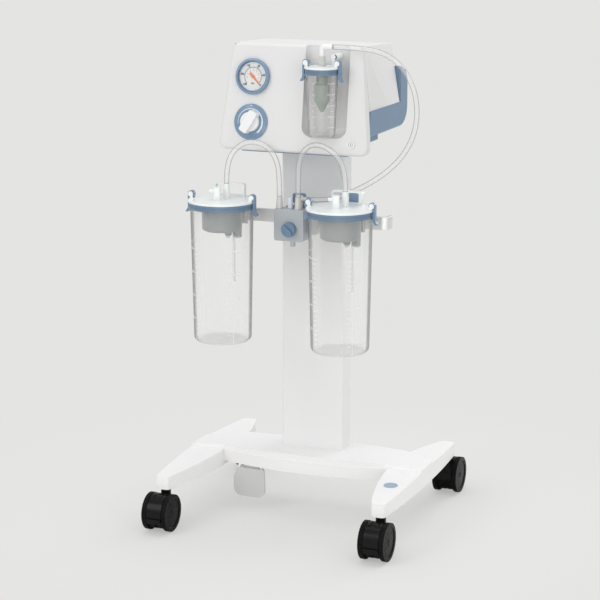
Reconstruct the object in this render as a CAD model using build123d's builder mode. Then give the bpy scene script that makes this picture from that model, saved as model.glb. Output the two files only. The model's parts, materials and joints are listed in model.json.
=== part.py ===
"""Mobile vacuum aspirator: a trolley on four twin-wheel casters, a suction pump on its column,
a safety jar in the pump's niche and two large collection jars hung on a medical rail.
Millimetres, +Z up, +X to the object's right, front towards -Y.
The origin lies on the floor, at the middle of the four casters."""
from build123d import *
import math
import os

os.makedirs("parts", exist_ok=True)

# Casters
WHEEL_DIA = 75.0
WHEEL_TREAD = 10.0
WHEEL_OVERALL = 52.0
HOOD_GAP = 0.5
HOOD_WALL = 3.2
AXLE_DIA = 8.0
CASTER_X = 228.0
SWIVEL_Y = 203.0
TRAIL = 23.0
STEM_DIA = 11.0
NECK_DIA = 20.0
RUN_CLEAR = 0.05

# Base
LEG_BOTTOM = 82.5
LEG_TIP_TOP = 109.0
LEG_MID_TOP = 117.0
LEG_TIP = 19.0
LEG_REACH = SWIVEL_Y + LEG_TIP
LEG_TIP_WIDTH = 27.0
LEG_INNER_X = 180.0
LEG_OUTER_X = 251.0
BASE_WALL = 4.0
BAR_BOTTOM = 92.0
BAR_REAR_Y = 77.0
BAR_SIDE_Y = -27.0
BAR_BOW = 25.0
COVER_TOP = 130.0
COVER_EDGE = 4.0
COVER_FRONT_Y = -29.0
COVER_REAR_Y = 40.0

# Column and rail
COLUMN_W = 133.0
COLUMN_D = 47.0
COLUMN_FRONT_Y = 15.0
COLUMN_WALL = 2.5
COLUMN_TOP = 773.0
COLUMN_FLANGE = 4.0
COLUMN_SEAT = 4.0
RAIL_H = 25.0
RAIL_T = 10.0
RAIL_HALF = 190.0
RAIL_FRONT_Y = -71.0
RAIL_Z = 622.0
RAIL_RETURN = 25.0
BRACKET_X = 20.0
BRACKET_TOP = 618.0

# Pump
COVER_BOTTOM = 753.0
PUMP_HEIGHT = 206.0
PUMP_TOP = COVER_BOTTOM + PUMP_HEIGHT
ROOF_DROP = 8.0
PUMP_TOP_REAR = PUMP_TOP - ROOF_DROP
FACE_BOTTOM_Y = -96.0
FACE_TOP_Y = -66.0
FACE_HALF_BOTTOM = 156.0
FACE_HALF_TOP = 135.0
FACE_DEPTH = 24.0
BODY_REAR_Y = 114.0
BODY_HALF = 149.0
BODY_HALF_REAR_TOP = 130.0
HOUSING_BOTTOM = COVER_BOTTOM + 32.0
PARTING_Z = HOUSING_BOTTOM + 51.0
SHELL_REAR_Y = 160.0
SHELL_TOP = PUMP_TOP - 59.0
SHELL_RADIUS = 40.0
PUMP_WALL = 3.0
TRAY_DEPTH = 12.0
TRAY_HALF = 138.0
TRAY_REAR_Y = 20.0
DIAL_X = -88.0
GAUGE_Z = PUMP_TOP - 64.0
DIAL_Z = COVER_BOTTOM + 55.0
BEZEL_DIA = 70.0
GAUGE_DIA = 56.0
KNOB_DIA = 39.0
BUTTON_X = 121.0
BUTTON_Z = COVER_BOTTOM + 22.0
BUTTON_DIA = 16.0
NICHE_X = 64.0
NICHE_W = 92.0
NICHE_BACK_Y = -56.0

# Safety jar
CUP_X = 62.0
CUP_Y = -94.0
CUP_RADIUS = 30.5
CUP_FOOT_RADIUS = 25.5
CUP_LID_RADIUS = 34.0
CUP_WALL = 2.0
ELBOW_Z = PUMP_TOP + 1.0
ELBOW_MOUTH_X = 84.0

# Valve block
BLOCK_HALF = 31.0
BLOCK_FRONT_Y = -112.0
BLOCK_BACK_Y = -85.0
BLOCK_BOTTOM = 582.0
BLOCK_TOP = 644.5
PORT_Y = -101.5
PORT_LEFT_X = -23.0
PORT_RIGHT_X = 16.0
PORT_TOP = 668.0
VALVE_X = 2.0
VALVE_Z = 606.0
VALVE_KNOB_DIA = 30.0
INLET_X = 12.0
INLET_MOUTH_X = 26.0
INLET_Y = -78.0
INLET_Z = 661.0

# Collection jars
JAR_X = 123.0
JAR_Y = -152.0
JAR_BOTTOM = 384.0
JAR_RADIUS = 61.5
JAR_FOOT_RADIUS = 56.5
JAR_WALL = 2.5
LID_TOP = 664.0
LID_RADIUS = 66.0
LID_PLATE = 4.0
RING_HEIGHT = 12.0
RING_WALL = 2.2
INSERT_RADIUS = 39.0
INSERT_BOTTOM = 603.0
DROP_TUBE_BOTTOM = 503.0
CONNECTOR_TOP = 693.0
HANDLE_TOP = 690.5
HOSE_DIA = 10.0
SEAT_GAP = 0.3


def finish(piece, label):
    """Labels one finished piece and writes it."""
    piece.part.label = label
    export_step(piece.part, f"parts/{label}.step")
    return piece


def front_plane(y):
    """Upright plane at depth y, facing the front, with local x along X and local y along Z."""
    return Plane(origin=(0, y, 0), x_dir=(1, 0, 0), z_dir=(0, -1, 0))


FACE_LEAN = math.atan2(FACE_TOP_Y - FACE_BOTTOM_Y, PUMP_TOP - COVER_BOTTOM)
ROOF_SLOPE = math.atan2(PUMP_TOP - PUMP_TOP_REAR, BODY_REAR_Y - FACE_TOP_Y)


def face_y(z):
    """Depth of the pump's leaning front face at height z."""
    share = (z - COVER_BOTTOM) / (PUMP_TOP - COVER_BOTTOM)
    return FACE_BOTTOM_Y + share * (FACE_TOP_Y - FACE_BOTTOM_Y)


def face_plane(x, z):
    """Plane on the leaning front face, with local z pointing out of the face."""
    normal = (0, -math.cos(FACE_LEAN), math.sin(FACE_LEAN))
    return Plane(origin=(x, face_y(z), z), x_dir=(1, 0, 0), z_dir=normal)


def hose_radii(points):
    """Largest arc each corner's two runs allow."""
    corners = [Vector(*p) for p in points]
    radii = []
    for before, here, after in zip(corners, corners[1:], corners[2:]):
        run_in = here - before
        run_out = after - here
        turn = math.radians(run_in.get_angle(run_out))
        radii.append(0.45 * min(run_in.length, run_out.length) / math.tan(turn / 2))
    return radii


def hose(points, label):
    """Plain tube along straight runs joined by tangent arcs."""
    radii = hose_radii(points)
    with BuildPart() as tube:
        with BuildLine() as route:
            FilletPolyline(*points, radius=radii)
        with BuildSketch(Plane(origin=route.line @ 0, z_dir=route.line % 0)):
            Circle(HOSE_DIA / 2)
        sweep(path=route.line)
    smallest = min(radii)
    section = math.pi * HOSE_DIA**2 / 4
    length = sum(edge.length for edge in route.line.edges())
    print(label, "radii", [round(r) for r in radii], "smallest", round(smallest),
          "volume ratio", round(tube.part.volume / (section * length), 4))
    return finish(tube, label)


# Casters: the hood carries the stem and the axle, and both wheels turn together.
WHEEL_R = WHEEL_DIA / 2
HOOD_HALF = WHEEL_OVERALL / 2 - WHEEL_TREAD - HOOD_GAP
HOOD_R = WHEEL_R - 0.5
HUB_R = HOOD_R - HOOD_WALL - HOOD_GAP
HOOD_LIP_Z = WHEEL_R - 4.0
TYRE_ROUND = 6.0
FACE_DISH = 1.5
HUB_CAP_R = 6.0
LEVER_DROP = 13.0
LEVER_TOE = 4.0
WEB = 4.0
NECK_TOP = LEG_BOTTOM - SEAT_GAP
STEM_TOP = LEG_TIP_TOP - BASE_WALL - 2.0


def caster(side, end, label):
    """Hood, web and stem. side is the sign of X, end the sign of Y: the wheels trail outward."""
    axle_y = end * (SWIVEL_Y + TRAIL)
    with BuildPart() as hood:
        with BuildSketch(Plane.YZ.offset(side * CASTER_X - HOOD_HALF)):
            with Locations((axle_y, WHEEL_R)):
                Circle(HOOD_R)
            with Locations((axle_y, HOOD_LIP_Z - WHEEL_DIA / 2)):
                Rectangle(WHEEL_DIA, WHEEL_DIA, mode=Mode.SUBTRACT)
        extrude(amount=2 * HOOD_HALF)
        with BuildSketch(Plane.XY.offset(WHEEL_R)):
            with Locations((side * CASTER_X, end * SWIVEL_Y)):
                Circle(NECK_DIA / 2)
        extrude(amount=NECK_TOP - WHEEL_R)
        with Locations((side * CASTER_X, axle_y, WHEEL_R)):
            Cylinder(HUB_R + HOOD_GAP, WHEEL_OVERALL, rotation=(0, 90, 0), mode=Mode.SUBTRACT)
        for slot_x in (-HOOD_HALF / 2, HOOD_HALF / 2):
            with Locations((side * CASTER_X + slot_x, axle_y + end * 12, WHEEL_R + HOOD_R)):
                Box(2.0, 16.0, 6.0, mode=Mode.SUBTRACT)
        with BuildSketch(Plane.YZ.offset(side * CASTER_X - WEB / 2)):
            with Locations((axle_y, WHEEL_R)):
                Circle(HOOD_R - 1)
            with Locations((axle_y, HOOD_LIP_Z - WHEEL_DIA / 2)):
                Rectangle(WHEEL_DIA, WHEEL_DIA, mode=Mode.SUBTRACT)
            with Locations((axle_y, WHEEL_R)):
                Circle(AXLE_DIA / 2 + 5)
                Circle(AXLE_DIA / 2 + RUN_CLEAR, mode=Mode.SUBTRACT)
        extrude(amount=WEB)
        with BuildSketch(Plane.XY.offset(NECK_TOP)):
            with Locations((side * CASTER_X, end * SWIVEL_Y)):
                Circle(STEM_DIA / 2)
        extrude(amount=STEM_TOP - NECK_TOP)
    return finish(hood, label)


def wheel_pair(side, end, label):
    """Two treaded wheels with dished faces on one axle, turned about X."""
    half = WHEEL_OVERALL / 2
    inner = WEB / 2 + HOOD_GAP
    tread = half - WHEEL_TREAD
    with BuildPart() as wheels:
        with BuildSketch(Plane.XY) as profile:
            with BuildLine():
                Polyline((0, 0), (0, AXLE_DIA / 2), (inner, AXLE_DIA / 2), (inner, HUB_R), (tread, HUB_R),
                         (tread, WHEEL_R), (half, WHEEL_R), (half, WHEEL_R - TYRE_ROUND - 1),
                         (half - FACE_DISH, WHEEL_R - TYRE_ROUND - 3), (half - FACE_DISH / 2, HUB_CAP_R),
                         (half, HUB_CAP_R - 1), (half, 0), (0, 0))
            make_face()
            shoulder = profile.vertices().group_by(Axis.Y)[-1].sort_by(Axis.X)
            fillet(shoulder[0], 2)
            fillet(shoulder[-1], TYRE_ROUND)
        revolve(axis=Axis.X)
        mirror(about=Plane.YZ)
    wheels.part = wheels.part.moved(Location((side * CASTER_X, end * (SWIVEL_Y + TRAIL), WHEEL_R)))
    return finish(wheels, label)


def brake_lever(side, label):
    """Toe lever that closes the front hood below its lip and swings down about the axle."""
    axle_y = -(SWIVEL_Y + TRAIL)
    with BuildPart() as lever:
        with BuildSketch(Plane.YZ.offset(side * CASTER_X - HOOD_HALF)):
            with Locations((axle_y, WHEEL_R)):
                Circle(HOOD_R)
            with Locations((axle_y - HOOD_R, HOOD_LIP_Z - SEAT_GAP - LEVER_DROP / 2)):
                Rectangle(2 * HOOD_R, LEVER_DROP, mode=Mode.INTERSECT)
            with Locations((axle_y - HOOD_R + 1, HOOD_LIP_Z - SEAT_GAP - LEVER_TOE / 2)):
                Rectangle(2 * LEVER_TOE, LEVER_TOE)
            with Locations((axle_y, WHEEL_R)):
                Circle(HUB_R + HOOD_GAP, mode=Mode.SUBTRACT)
        extrude(amount=2 * HOOD_HALF)
    return finish(lever, label)


# Base: two hollow legs, each with a stem socket at both tips, and the bowed crossbar between them.
def leg(side, label):
    """Leg tapering to both tips, open underneath, with a boss round each caster stem."""
    tip = LEG_TIP_WIDTH / 2
    with BuildPart() as body:
        with BuildSketch(Plane.XY.offset(LEG_BOTTOM)) as plan:
            with BuildLine():
                front = (side * (CASTER_X - tip), -LEG_REACH)
                front_out = (side * (CASTER_X + tip), -LEG_REACH)
                rear = (side * (CASTER_X - tip), LEG_REACH)
                rear_out = (side * (CASTER_X + tip), LEG_REACH)
                hip_front = (side * LEG_INNER_X, -50.0)
                hip_rear = (side * LEG_INNER_X, BAR_REAR_Y + 12)
                Line(front, front_out)
                ThreePointArc(front_out, (side * LEG_OUTER_X, 0), rear_out)
                Line(rear_out, rear)
                ThreePointArc(rear, (side * (LEG_INNER_X + 13), (LEG_REACH + hip_rear[1]) / 2), hip_rear)
                Line(hip_rear, hip_front)
                ThreePointArc(hip_front, (side * (LEG_INNER_X + 13), -(LEG_REACH + 50) / 2), front)
            make_face()
            fillet(plan.vertices().group_by(Axis.Y)[0], 8)
            fillet(plan.vertices().group_by(Axis.Y)[-1], 8)
        extrude(amount=LEG_MID_TOP - LEG_BOTTOM)
        with BuildSketch(Plane.YZ.offset(side * (LEG_INNER_X - 20))):
            with BuildLine():
                Line((-LEG_REACH - 1, LEG_BOTTOM), (LEG_REACH + 1, LEG_BOTTOM))
                Line((LEG_REACH + 1, LEG_BOTTOM), (LEG_REACH + 1, LEG_TIP_TOP))
                Line((LEG_REACH + 1, LEG_TIP_TOP), (COVER_REAR_Y + 4, LEG_MID_TOP))
                Line((COVER_REAR_Y + 4, LEG_MID_TOP), (COVER_FRONT_Y - 4, LEG_MID_TOP))
                Line((COVER_FRONT_Y - 4, LEG_MID_TOP), (-LEG_REACH - 1, LEG_TIP_TOP))
                Line((-LEG_REACH - 1, LEG_TIP_TOP), (-LEG_REACH - 1, LEG_BOTTOM))
            make_face()
        extrude(amount=side * 100, mode=Mode.INTERSECT)
        with BuildSketch(Plane.XY.offset(LEG_BOTTOM)):
            add(plan.sketch_local.face())
            offset(amount=-BASE_WALL, kind=Kind.INTERSECTION)
        extrude(amount=LEG_TIP_TOP - BASE_WALL - LEG_BOTTOM, mode=Mode.SUBTRACT)
        with BuildSketch(Plane.XY.offset(LEG_BOTTOM)):
            with Locations((side * CASTER_X, -SWIVEL_Y), (side * CASTER_X, SWIVEL_Y)):
                Circle(STEM_DIA / 2 + 4.5)
        extrude(amount=LEG_TIP_TOP - BASE_WALL - LEG_BOTTOM)
        with BuildSketch(Plane.XY.offset(LEG_BOTTOM)):
            with Locations((side * CASTER_X, -SWIVEL_Y), (side * CASTER_X, SWIVEL_Y)):
                Circle(STEM_DIA / 2 + RUN_CLEAR)
        extrude(amount=STEM_TOP - LEG_BOTTOM + SEAT_GAP, mode=Mode.SUBTRACT)
    return finish(body, label)


def bow_y(x, setback=0.0):
    """Front edge of the crossbar at distance x from the middle."""
    return BAR_SIDE_Y - BAR_BOW * (1 - (x / LEG_INNER_X) ** 2) + setback


PEDAL_X = -115.0
PEDAL_W = 70.0
PEDAL_T = 4.0
PEDAL_BOTTOM = 27.0
PEDAL_ROUND = 17.0
PEDAL_SHOULDER = 9.0
PEDAL_TOP_RISE = 3.0
PEDAL_ARM_IN = 7.0
PEDAL_ARM_T = 6.0
PEDAL_PIN_DIA = 5.0
PEDAL_PIN_Z = 84.0
PEDAL_LUG_T = 4.0
PEDAL_LUG_GAP = 48.0
PEDAL_LUG_R = 5.5
PEDAL_SETBACK = 6.0
PEDAL_Y = bow_y(PEDAL_X) + PEDAL_SETBACK
COLUMN_Y = COLUMN_FRONT_Y + COLUMN_D / 2
COLUMN_FOOT = COVER_TOP - COLUMN_SEAT


def crossbar():
    """Bowed bar between the legs, with the domed cover that runs out over them."""
    with BuildPart() as bar:
        with BuildSketch(Plane.XY.offset(BAR_BOTTOM)) as plan:
            with BuildLine():
                corner_left = (-LEG_INNER_X, bow_y(LEG_INNER_X))
                corner_right = (LEG_INNER_X, bow_y(LEG_INNER_X))
                ThreePointArc(corner_left, (0, bow_y(0)), corner_right)
                Polyline(corner_right, (LEG_INNER_X, BAR_REAR_Y), (-LEG_INNER_X, BAR_REAR_Y), corner_left)
            make_face()
        extrude(amount=LEG_MID_TOP - BAR_BOTTOM)
        with BuildSketch(front_plane(BAR_REAR_Y)):
            with BuildLine():
                edge_left = (-LEG_OUTER_X, LEG_MID_TOP + COVER_EDGE)
                edge_right = (LEG_OUTER_X, LEG_MID_TOP + COVER_EDGE)
                ThreePointArc(edge_left, (0, COVER_TOP), edge_right)
                Polyline(edge_right, (LEG_OUTER_X, LEG_MID_TOP), (-LEG_OUTER_X, LEG_MID_TOP), edge_left)
            make_face()
        shell = extrude(amount=BAR_REAR_Y - bow_y(0), mode=Mode.PRIVATE)
        with BuildSketch(Plane.XY.offset(LEG_MID_TOP)):
            with BuildLine():
                ThreePointArc((-LEG_INNER_X, bow_y(LEG_INNER_X, 2)), (0, bow_y(0, 2)),
                              (LEG_INNER_X, bow_y(LEG_INNER_X, 2)))
                Polyline((LEG_INNER_X, bow_y(LEG_INNER_X, 2)), (LEG_OUTER_X, COVER_FRONT_Y),
                         (LEG_OUTER_X, COVER_REAR_Y), (LEG_INNER_X, BAR_REAR_Y - 2),
                         (-LEG_INNER_X, BAR_REAR_Y - 2), (-LEG_OUTER_X, COVER_REAR_Y),
                         (-LEG_OUTER_X, COVER_FRONT_Y), (-LEG_INNER_X, bow_y(LEG_INNER_X, 2)))
            make_face()
        plate = extrude(amount=COVER_TOP - LEG_MID_TOP, mode=Mode.PRIVATE)
        add(shell & plate)
        fillet(bar.edges().filter_by(GeomType.LINE).filter_by(Axis.X).group_by(Axis.Z)[0], 3)
        with BuildSketch(Plane.XY.offset(BAR_BOTTOM)):
            add(plan.sketch_local.face())
            offset(amount=-BASE_WALL, kind=Kind.INTERSECTION)
        extrude(amount=LEG_MID_TOP - BASE_WALL - BAR_BOTTOM, mode=Mode.SUBTRACT)
        for rib_x in (-COLUMN_W / 2 - 8, COLUMN_W / 2 + 8):
            with Locations((rib_x, (BAR_REAR_Y + bow_y(rib_x)) / 2, (BAR_BOTTOM + LEG_MID_TOP) / 2)):
                Box(BASE_WALL, BAR_REAR_Y - bow_y(rib_x) - 4, LEG_MID_TOP - BAR_BOTTOM - 1)
        with BuildSketch(Plane.XY.offset(COLUMN_FOOT)):
            with Locations((0, COLUMN_Y)):
                RectangleRounded(COLUMN_W + 2 * RUN_CLEAR, COLUMN_D + 2 * RUN_CLEAR, 6)
        extrude(amount=COLUMN_SEAT + 1, mode=Mode.SUBTRACT)
        lug_top = LEG_MID_TOP - BASE_WALL / 2
        for lug_x in (-PEDAL_LUG_GAP / 2, PEDAL_LUG_GAP / 2):
            with BuildSketch(Plane.YZ.offset(PEDAL_X + lug_x - PEDAL_LUG_T / 2)):
                with Locations((PEDAL_Y, PEDAL_PIN_Z)):
                    Circle(PEDAL_LUG_R)
                with Locations((PEDAL_Y, (PEDAL_PIN_Z + lug_top) / 2)):
                    Rectangle(2 * PEDAL_LUG_R, lug_top - PEDAL_PIN_Z)
            extrude(amount=PEDAL_LUG_T)
        # The lugs stay behind the bar's bowed front and hang free only below it.
        with BuildSketch(Plane.XY.offset(BAR_BOTTOM)):
            with BuildLine():
                ThreePointArc(corner_left, (0, bow_y(0)), corner_right)
                Polyline(corner_right, (LEG_INNER_X, bow_y(0, -PEDAL_SETBACK)),
                         (-LEG_INNER_X, bow_y(0, -PEDAL_SETBACK)), corner_left)
            make_face()
        extrude(amount=LEG_MID_TOP - BAR_BOTTOM, mode=Mode.SUBTRACT)
        with Locations((PEDAL_X, PEDAL_Y, PEDAL_PIN_Z)):
            Cylinder(PEDAL_PIN_DIA / 2 + RUN_CLEAR, PEDAL_LUG_GAP + 12, rotation=(0, 90, 0),
                     mode=Mode.SUBTRACT)
    return finish(bar, "base_crossbar")


def foot_pedal():
    """Light grey paddle with round corners, a soft edge and the hinge pin that the bar's lugs carry."""
    top = PEDAL_PIN_Z + PEDAL_TOP_RISE
    with BuildPart() as pedal:
        with BuildSketch(front_plane(PEDAL_Y - PEDAL_SETBACK)) as outline:
            with BuildLine():
                Polyline((PEDAL_X - PEDAL_W / 2, PEDAL_BOTTOM), (PEDAL_X + PEDAL_W / 2, PEDAL_BOTTOM),
                         (PEDAL_X + PEDAL_W / 2 - 2, top), (PEDAL_X - PEDAL_W / 2 + PEDAL_SHOULDER, top),
                         (PEDAL_X - PEDAL_W / 2, top - 2 * PEDAL_SHOULDER), close=True)
            make_face()
            fillet(outline.vertices().group_by(Axis.Y)[0], PEDAL_ROUND)
            fillet(outline.vertices().group_by(Axis.Y)[-1], PEDAL_SHOULDER / 2)
        extrude(amount=PEDAL_T)
        fillet(pedal.faces().sort_by(Axis.Y)[0].edges(), PEDAL_T / 3)
        for arm_x in (-PEDAL_LUG_GAP / 2 + PEDAL_ARM_IN, PEDAL_LUG_GAP / 2 - PEDAL_ARM_IN):
            with Locations((PEDAL_X + arm_x, PEDAL_Y - PEDAL_SETBACK / 2, PEDAL_PIN_Z)):
                Box(PEDAL_ARM_T, PEDAL_SETBACK + 2, PEDAL_PIN_DIA + 2)
        with Locations((PEDAL_X, PEDAL_Y, PEDAL_PIN_Z)):
            Cylinder(PEDAL_PIN_DIA / 2, PEDAL_LUG_GAP + 6, rotation=(0, 90, 0))
    return finish(pedal, "foot_pedal")


# Column: a flat tube with the flange that carries the pump.
FLANGE_W = 166.0
FLANGE_D = 58.0
SCREW_DIA = 4.0
SCREW_HEAD = 8.0
SCREW_HEAD_H = 3.0
PUMP_SCREW_X = 74.0
PUMP_SCREW_Y = 18.0
RAIL_SCREW_X = 33.0
RAIL_SCREW_Z = 8.0
BRACKET_PLATE_T = 4.0
BRACKET_PLATE_W = 84.0
BRACKET_PLATE_H = 40.0
BRACKET_ARM_T = 8.0
BRACKET_Z = BRACKET_TOP - 10.0


def column():
    """Rounded flat tube, seated in the crossbar, with a flange at the top."""
    with BuildPart() as post:
        with BuildSketch(Plane.XY.offset(COLUMN_FOOT)):
            with Locations((0, COLUMN_Y)):
                RectangleRounded(COLUMN_W, COLUMN_D, 6)
                RectangleRounded(COLUMN_W - 2 * COLUMN_WALL, COLUMN_D - 2 * COLUMN_WALL, 6 - COLUMN_WALL,
                                 mode=Mode.SUBTRACT)
        extrude(amount=COLUMN_TOP - COLUMN_FOOT)
        with BuildSketch(Plane.XY.offset(COLUMN_TOP)):
            with Locations((0, COLUMN_Y)):
                RectangleRounded(FLANGE_W, FLANGE_D, 6)
                with GridLocations(2 * PUMP_SCREW_X, 2 * PUMP_SCREW_Y, 2, 2):
                    Circle(SCREW_DIA / 2 + 0.2, mode=Mode.SUBTRACT)
        extrude(amount=-COLUMN_FLANGE)
        with Locations((0, COLUMN_FRONT_Y + COLUMN_WALL / 2, BRACKET_Z)):
            with GridLocations(2 * RAIL_SCREW_X, 1, 2, 1):
                for lift in (-RAIL_SCREW_Z, RAIL_SCREW_Z):
                    with Locations((0, 0, lift)):
                        Cylinder(SCREW_DIA / 2 + 0.2, 3 * COLUMN_WALL, rotation=(90, 0, 0),
                                 mode=Mode.SUBTRACT)
    return finish(post, "column")


def rail():
    """Flat accessory rail with both ends returned towards the column."""
    back = RAIL_FRONT_Y + RAIL_RETURN
    middle = RAIL_FRONT_Y + RAIL_T / 2
    reach = RAIL_HALF - RAIL_T / 2
    with BuildPart() as bar:
        with BuildSketch(Plane.XY.offset(RAIL_Z - RAIL_H / 2)) as plan:
            with BuildLine():
                FilletPolyline((-reach, back), (-reach, middle), (reach, middle), (reach, back), radius=9)
                offset(amount=RAIL_T / 2, side=Side.BOTH, kind=Kind.INTERSECTION)
            make_face()
        extrude(amount=RAIL_H)
        fillet(bar.faces().sort_by(Axis.Z)[-1].edges(), 1)
        fillet(bar.faces().sort_by(Axis.Z)[0].edges(), 1)
    return finish(bar, "accessory_rail")


def rail_brackets():
    """Two arms from a plate on the column to the back of the rail."""
    arm_back = COLUMN_FRONT_Y - BRACKET_PLATE_T
    arm_length = arm_back - (RAIL_FRONT_Y + RAIL_T)
    with BuildPart() as bracket:
        with BuildSketch(front_plane(COLUMN_FRONT_Y)) as plate:
            with Locations((0, BRACKET_Z)):
                RectangleRounded(BRACKET_PLATE_W, BRACKET_PLATE_H, 5)
                with GridLocations(2 * RAIL_SCREW_X, 2 * RAIL_SCREW_Z, 2, 2):
                    Circle(SCREW_DIA / 2 + 0.2, mode=Mode.SUBTRACT)
        extrude(amount=BRACKET_PLATE_T)
        with BuildSketch(front_plane(arm_back)):
            with Locations((-BRACKET_X, BRACKET_Z), (BRACKET_X, BRACKET_Z)):
                Rectangle(BRACKET_ARM_T, 2 * (BRACKET_TOP - BRACKET_Z))
        extrude(amount=arm_length)
    return finish(bracket, "rail_brackets")


def screws():
    """Pump screws under the column's flange and screws through the rail bracket's plate."""
    with BuildPart() as set_of_screws:
        with Locations((0, COLUMN_Y, COLUMN_TOP - COLUMN_FLANGE)):
            with GridLocations(2 * PUMP_SCREW_X, 2 * PUMP_SCREW_Y, 2, 2):
                Cylinder(SCREW_HEAD / 2, SCREW_HEAD_H, align=(Align.CENTER, Align.CENTER, Align.MAX))
                Cylinder(SCREW_DIA / 2, COLUMN_FLANGE + TRAY_DEPTH + 5,
                         align=(Align.CENTER, Align.CENTER, Align.MIN))
        with BuildSketch(front_plane(COLUMN_FRONT_Y - BRACKET_PLATE_T)):
            with Locations((0, BRACKET_Z)):
                with GridLocations(2 * RAIL_SCREW_X, 2 * RAIL_SCREW_Z, 2, 2):
                    Circle(SCREW_HEAD / 2)
        extrude(amount=SCREW_HEAD_H)
        with BuildSketch(front_plane(COLUMN_FRONT_Y - BRACKET_PLATE_T)):
            with Locations((0, BRACKET_Z)):
                with GridLocations(2 * RAIL_SCREW_X, 2 * RAIL_SCREW_Z, 2, 2):
                    Circle(SCREW_DIA / 2)
        extrude(amount=-BRACKET_PLATE_T - 8)
    return finish(set_of_screws, "mounting_screws")


for end_name, end in (("front", -1), ("rear", 1)):
    for side_name, side in (("left", -1), ("right", 1)):
        caster(side, end, f"caster_{end_name}_{side_name}")
        wheel_pair(side, end, f"wheels_{end_name}_{side_name}")
for side_name, side in (("left", -1), ("right", 1)):
    brake_lever(side, f"brake_lever_{side_name}")
    leg(side, f"base_leg_{side_name}")
crossbar()
foot_pedal()
column()
rail()
rail_brackets()
screws()


# Pump: one white moulding for the leaning front, the sides and the roof, over a blue tray-shaped housing.
def trapezoid(half_low, half_high, low, high, inset=0.0):
    """Symmetric four-sided outline, inset evenly from its sides, foot and top."""
    slant = (half_low - half_high) / (high - low)
    side = inset * math.hypot(1, slant)
    with BuildSketch() as outline:
        with BuildLine():
            Polyline((-half_low + side + slant * inset, low + inset),
                     (half_low - side - slant * inset, low + inset),
                     (half_high - side + slant * inset, high - inset),
                     (-half_high + side - slant * inset, high - inset), close=True)
        make_face()
    return outline.sketch


FACE_LENGTH = math.hypot(PUMP_TOP - COVER_BOTTOM, FACE_TOP_Y - FACE_BOTTOM_Y)
FACE_MID_Z = (COVER_BOTTOM + PUMP_TOP) / 2
FACE_BACK = (0, math.cos(ROOF_SLOPE), -math.sin(ROOF_SLOPE))
NICHE_DEPTH = NICHE_BACK_Y - FACE_BOTTOM_Y + 30
# Rise above the parting line as a share, width and depth of the flute in the side walls
CREASE = ((-0.01, 112.0, 3.4), (0.33, 89.0, 2.9), (0.57, 62.0, 2.0), (0.90, 8.0, 0.5))
FLUTE_REACH = 8.0
NICHE_RADIUS = 16.0


def front_block(inset):
    """Leaning front panel as a solid block, inset by a wall where it is the hollow."""
    with BuildPart() as block:
        with BuildSketch(face_plane(0, FACE_MID_Z).offset(-inset)) as outline:
            add(trapezoid(FACE_HALF_BOTTOM, FACE_HALF_TOP, -FACE_LENGTH / 2, FACE_LENGTH / 2, inset))
            fillet(outline.vertices(), 16 - inset)
        extrude(amount=FACE_DEPTH, dir=FACE_BACK)
        if inset == 0:
            fillet(block.faces().sort_by(Axis.Y)[0].edges(), 6)
    return block.part


def body_block(inset):
    """Roof and side walls behind the front panel, from the parting line up."""
    front_y = FACE_TOP_Y + 4
    share = (front_y - FACE_TOP_Y) / (BODY_REAR_Y - FACE_TOP_Y)
    front_top = PUMP_TOP + share * (PUMP_TOP_REAR - PUMP_TOP)
    with BuildPart() as block:
        for y, top, half_top in ((front_y, front_top, FACE_HALF_TOP),
                                 (BODY_REAR_Y - inset, PUMP_TOP_REAR, BODY_HALF_REAR_TOP)):
            with BuildSketch(front_plane(y)):
                with BuildLine():
                    Polyline((-BODY_HALF + inset, PARTING_Z), (BODY_HALF - inset, PARTING_Z),
                             (half_top - inset, top - inset), (-half_top + inset, top - inset), close=True)
                make_face()
        loft(ruled=True)
        if inset == 0:
            rear = block.faces().sort_by(Axis.Y)[-1]
            fillet([e for e in rear.edges() if e.center().Z > PARTING_Z + 1], 10)
    return block.part


def side_flute(side, depth_in=0.0):
    """Shallow flute in a side wall: deepest at the panel, it fades out along a curved crease."""
    with BuildPart() as flute:
        for rise, width, depth in CREASE:
            z = PARTING_Z + rise * (PUMP_TOP - PARTING_Z)
            seam_y = face_y(z) + FACE_DEPTH - 2
            wall_x = BODY_HALF + rise * (FACE_HALF_TOP - BODY_HALF) - depth_in
            with BuildSketch(Plane.XY.offset(z)):
                with BuildLine():
                    Polyline((side * (wall_x + FLUTE_REACH), seam_y), (side * (wall_x - depth), seam_y),
                             (side * wall_x, seam_y + width),
                             (side * (wall_x + FLUTE_REACH), seam_y + width),
                             close=True)
                make_face()
        loft()
    return flute.part


def niche_block(grow):
    """Upright rounded recess for the safety jar, grown by a wall where it is the liner."""
    low = HOUSING_BOTTOM - grow
    high = PUMP_TOP + 20
    with BuildPart() as block:
        with BuildSketch(front_plane(NICHE_BACK_Y + grow)) as outline:
            with Locations((NICHE_X, (low + high) / 2)):
                Rectangle(NICHE_W + 2 * grow, high - low)
            fillet(outline.vertices().group_by(Axis.Y)[0], 20 + grow)
        extrude(amount=NICHE_DEPTH + grow)
        back = block.faces().sort_by(Axis.Y)[-1].edges()
        fillet([e for e in back if e.center().Z < high - 1], NICHE_RADIUS)
    return block.part


PORT_X = 84.0
PORT_Z = PUMP_TOP - 19.0
PORT_DIA = 13.0
GAUGE_CLEAR = 0.2
SHAFT_DIA = 8.0


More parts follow.
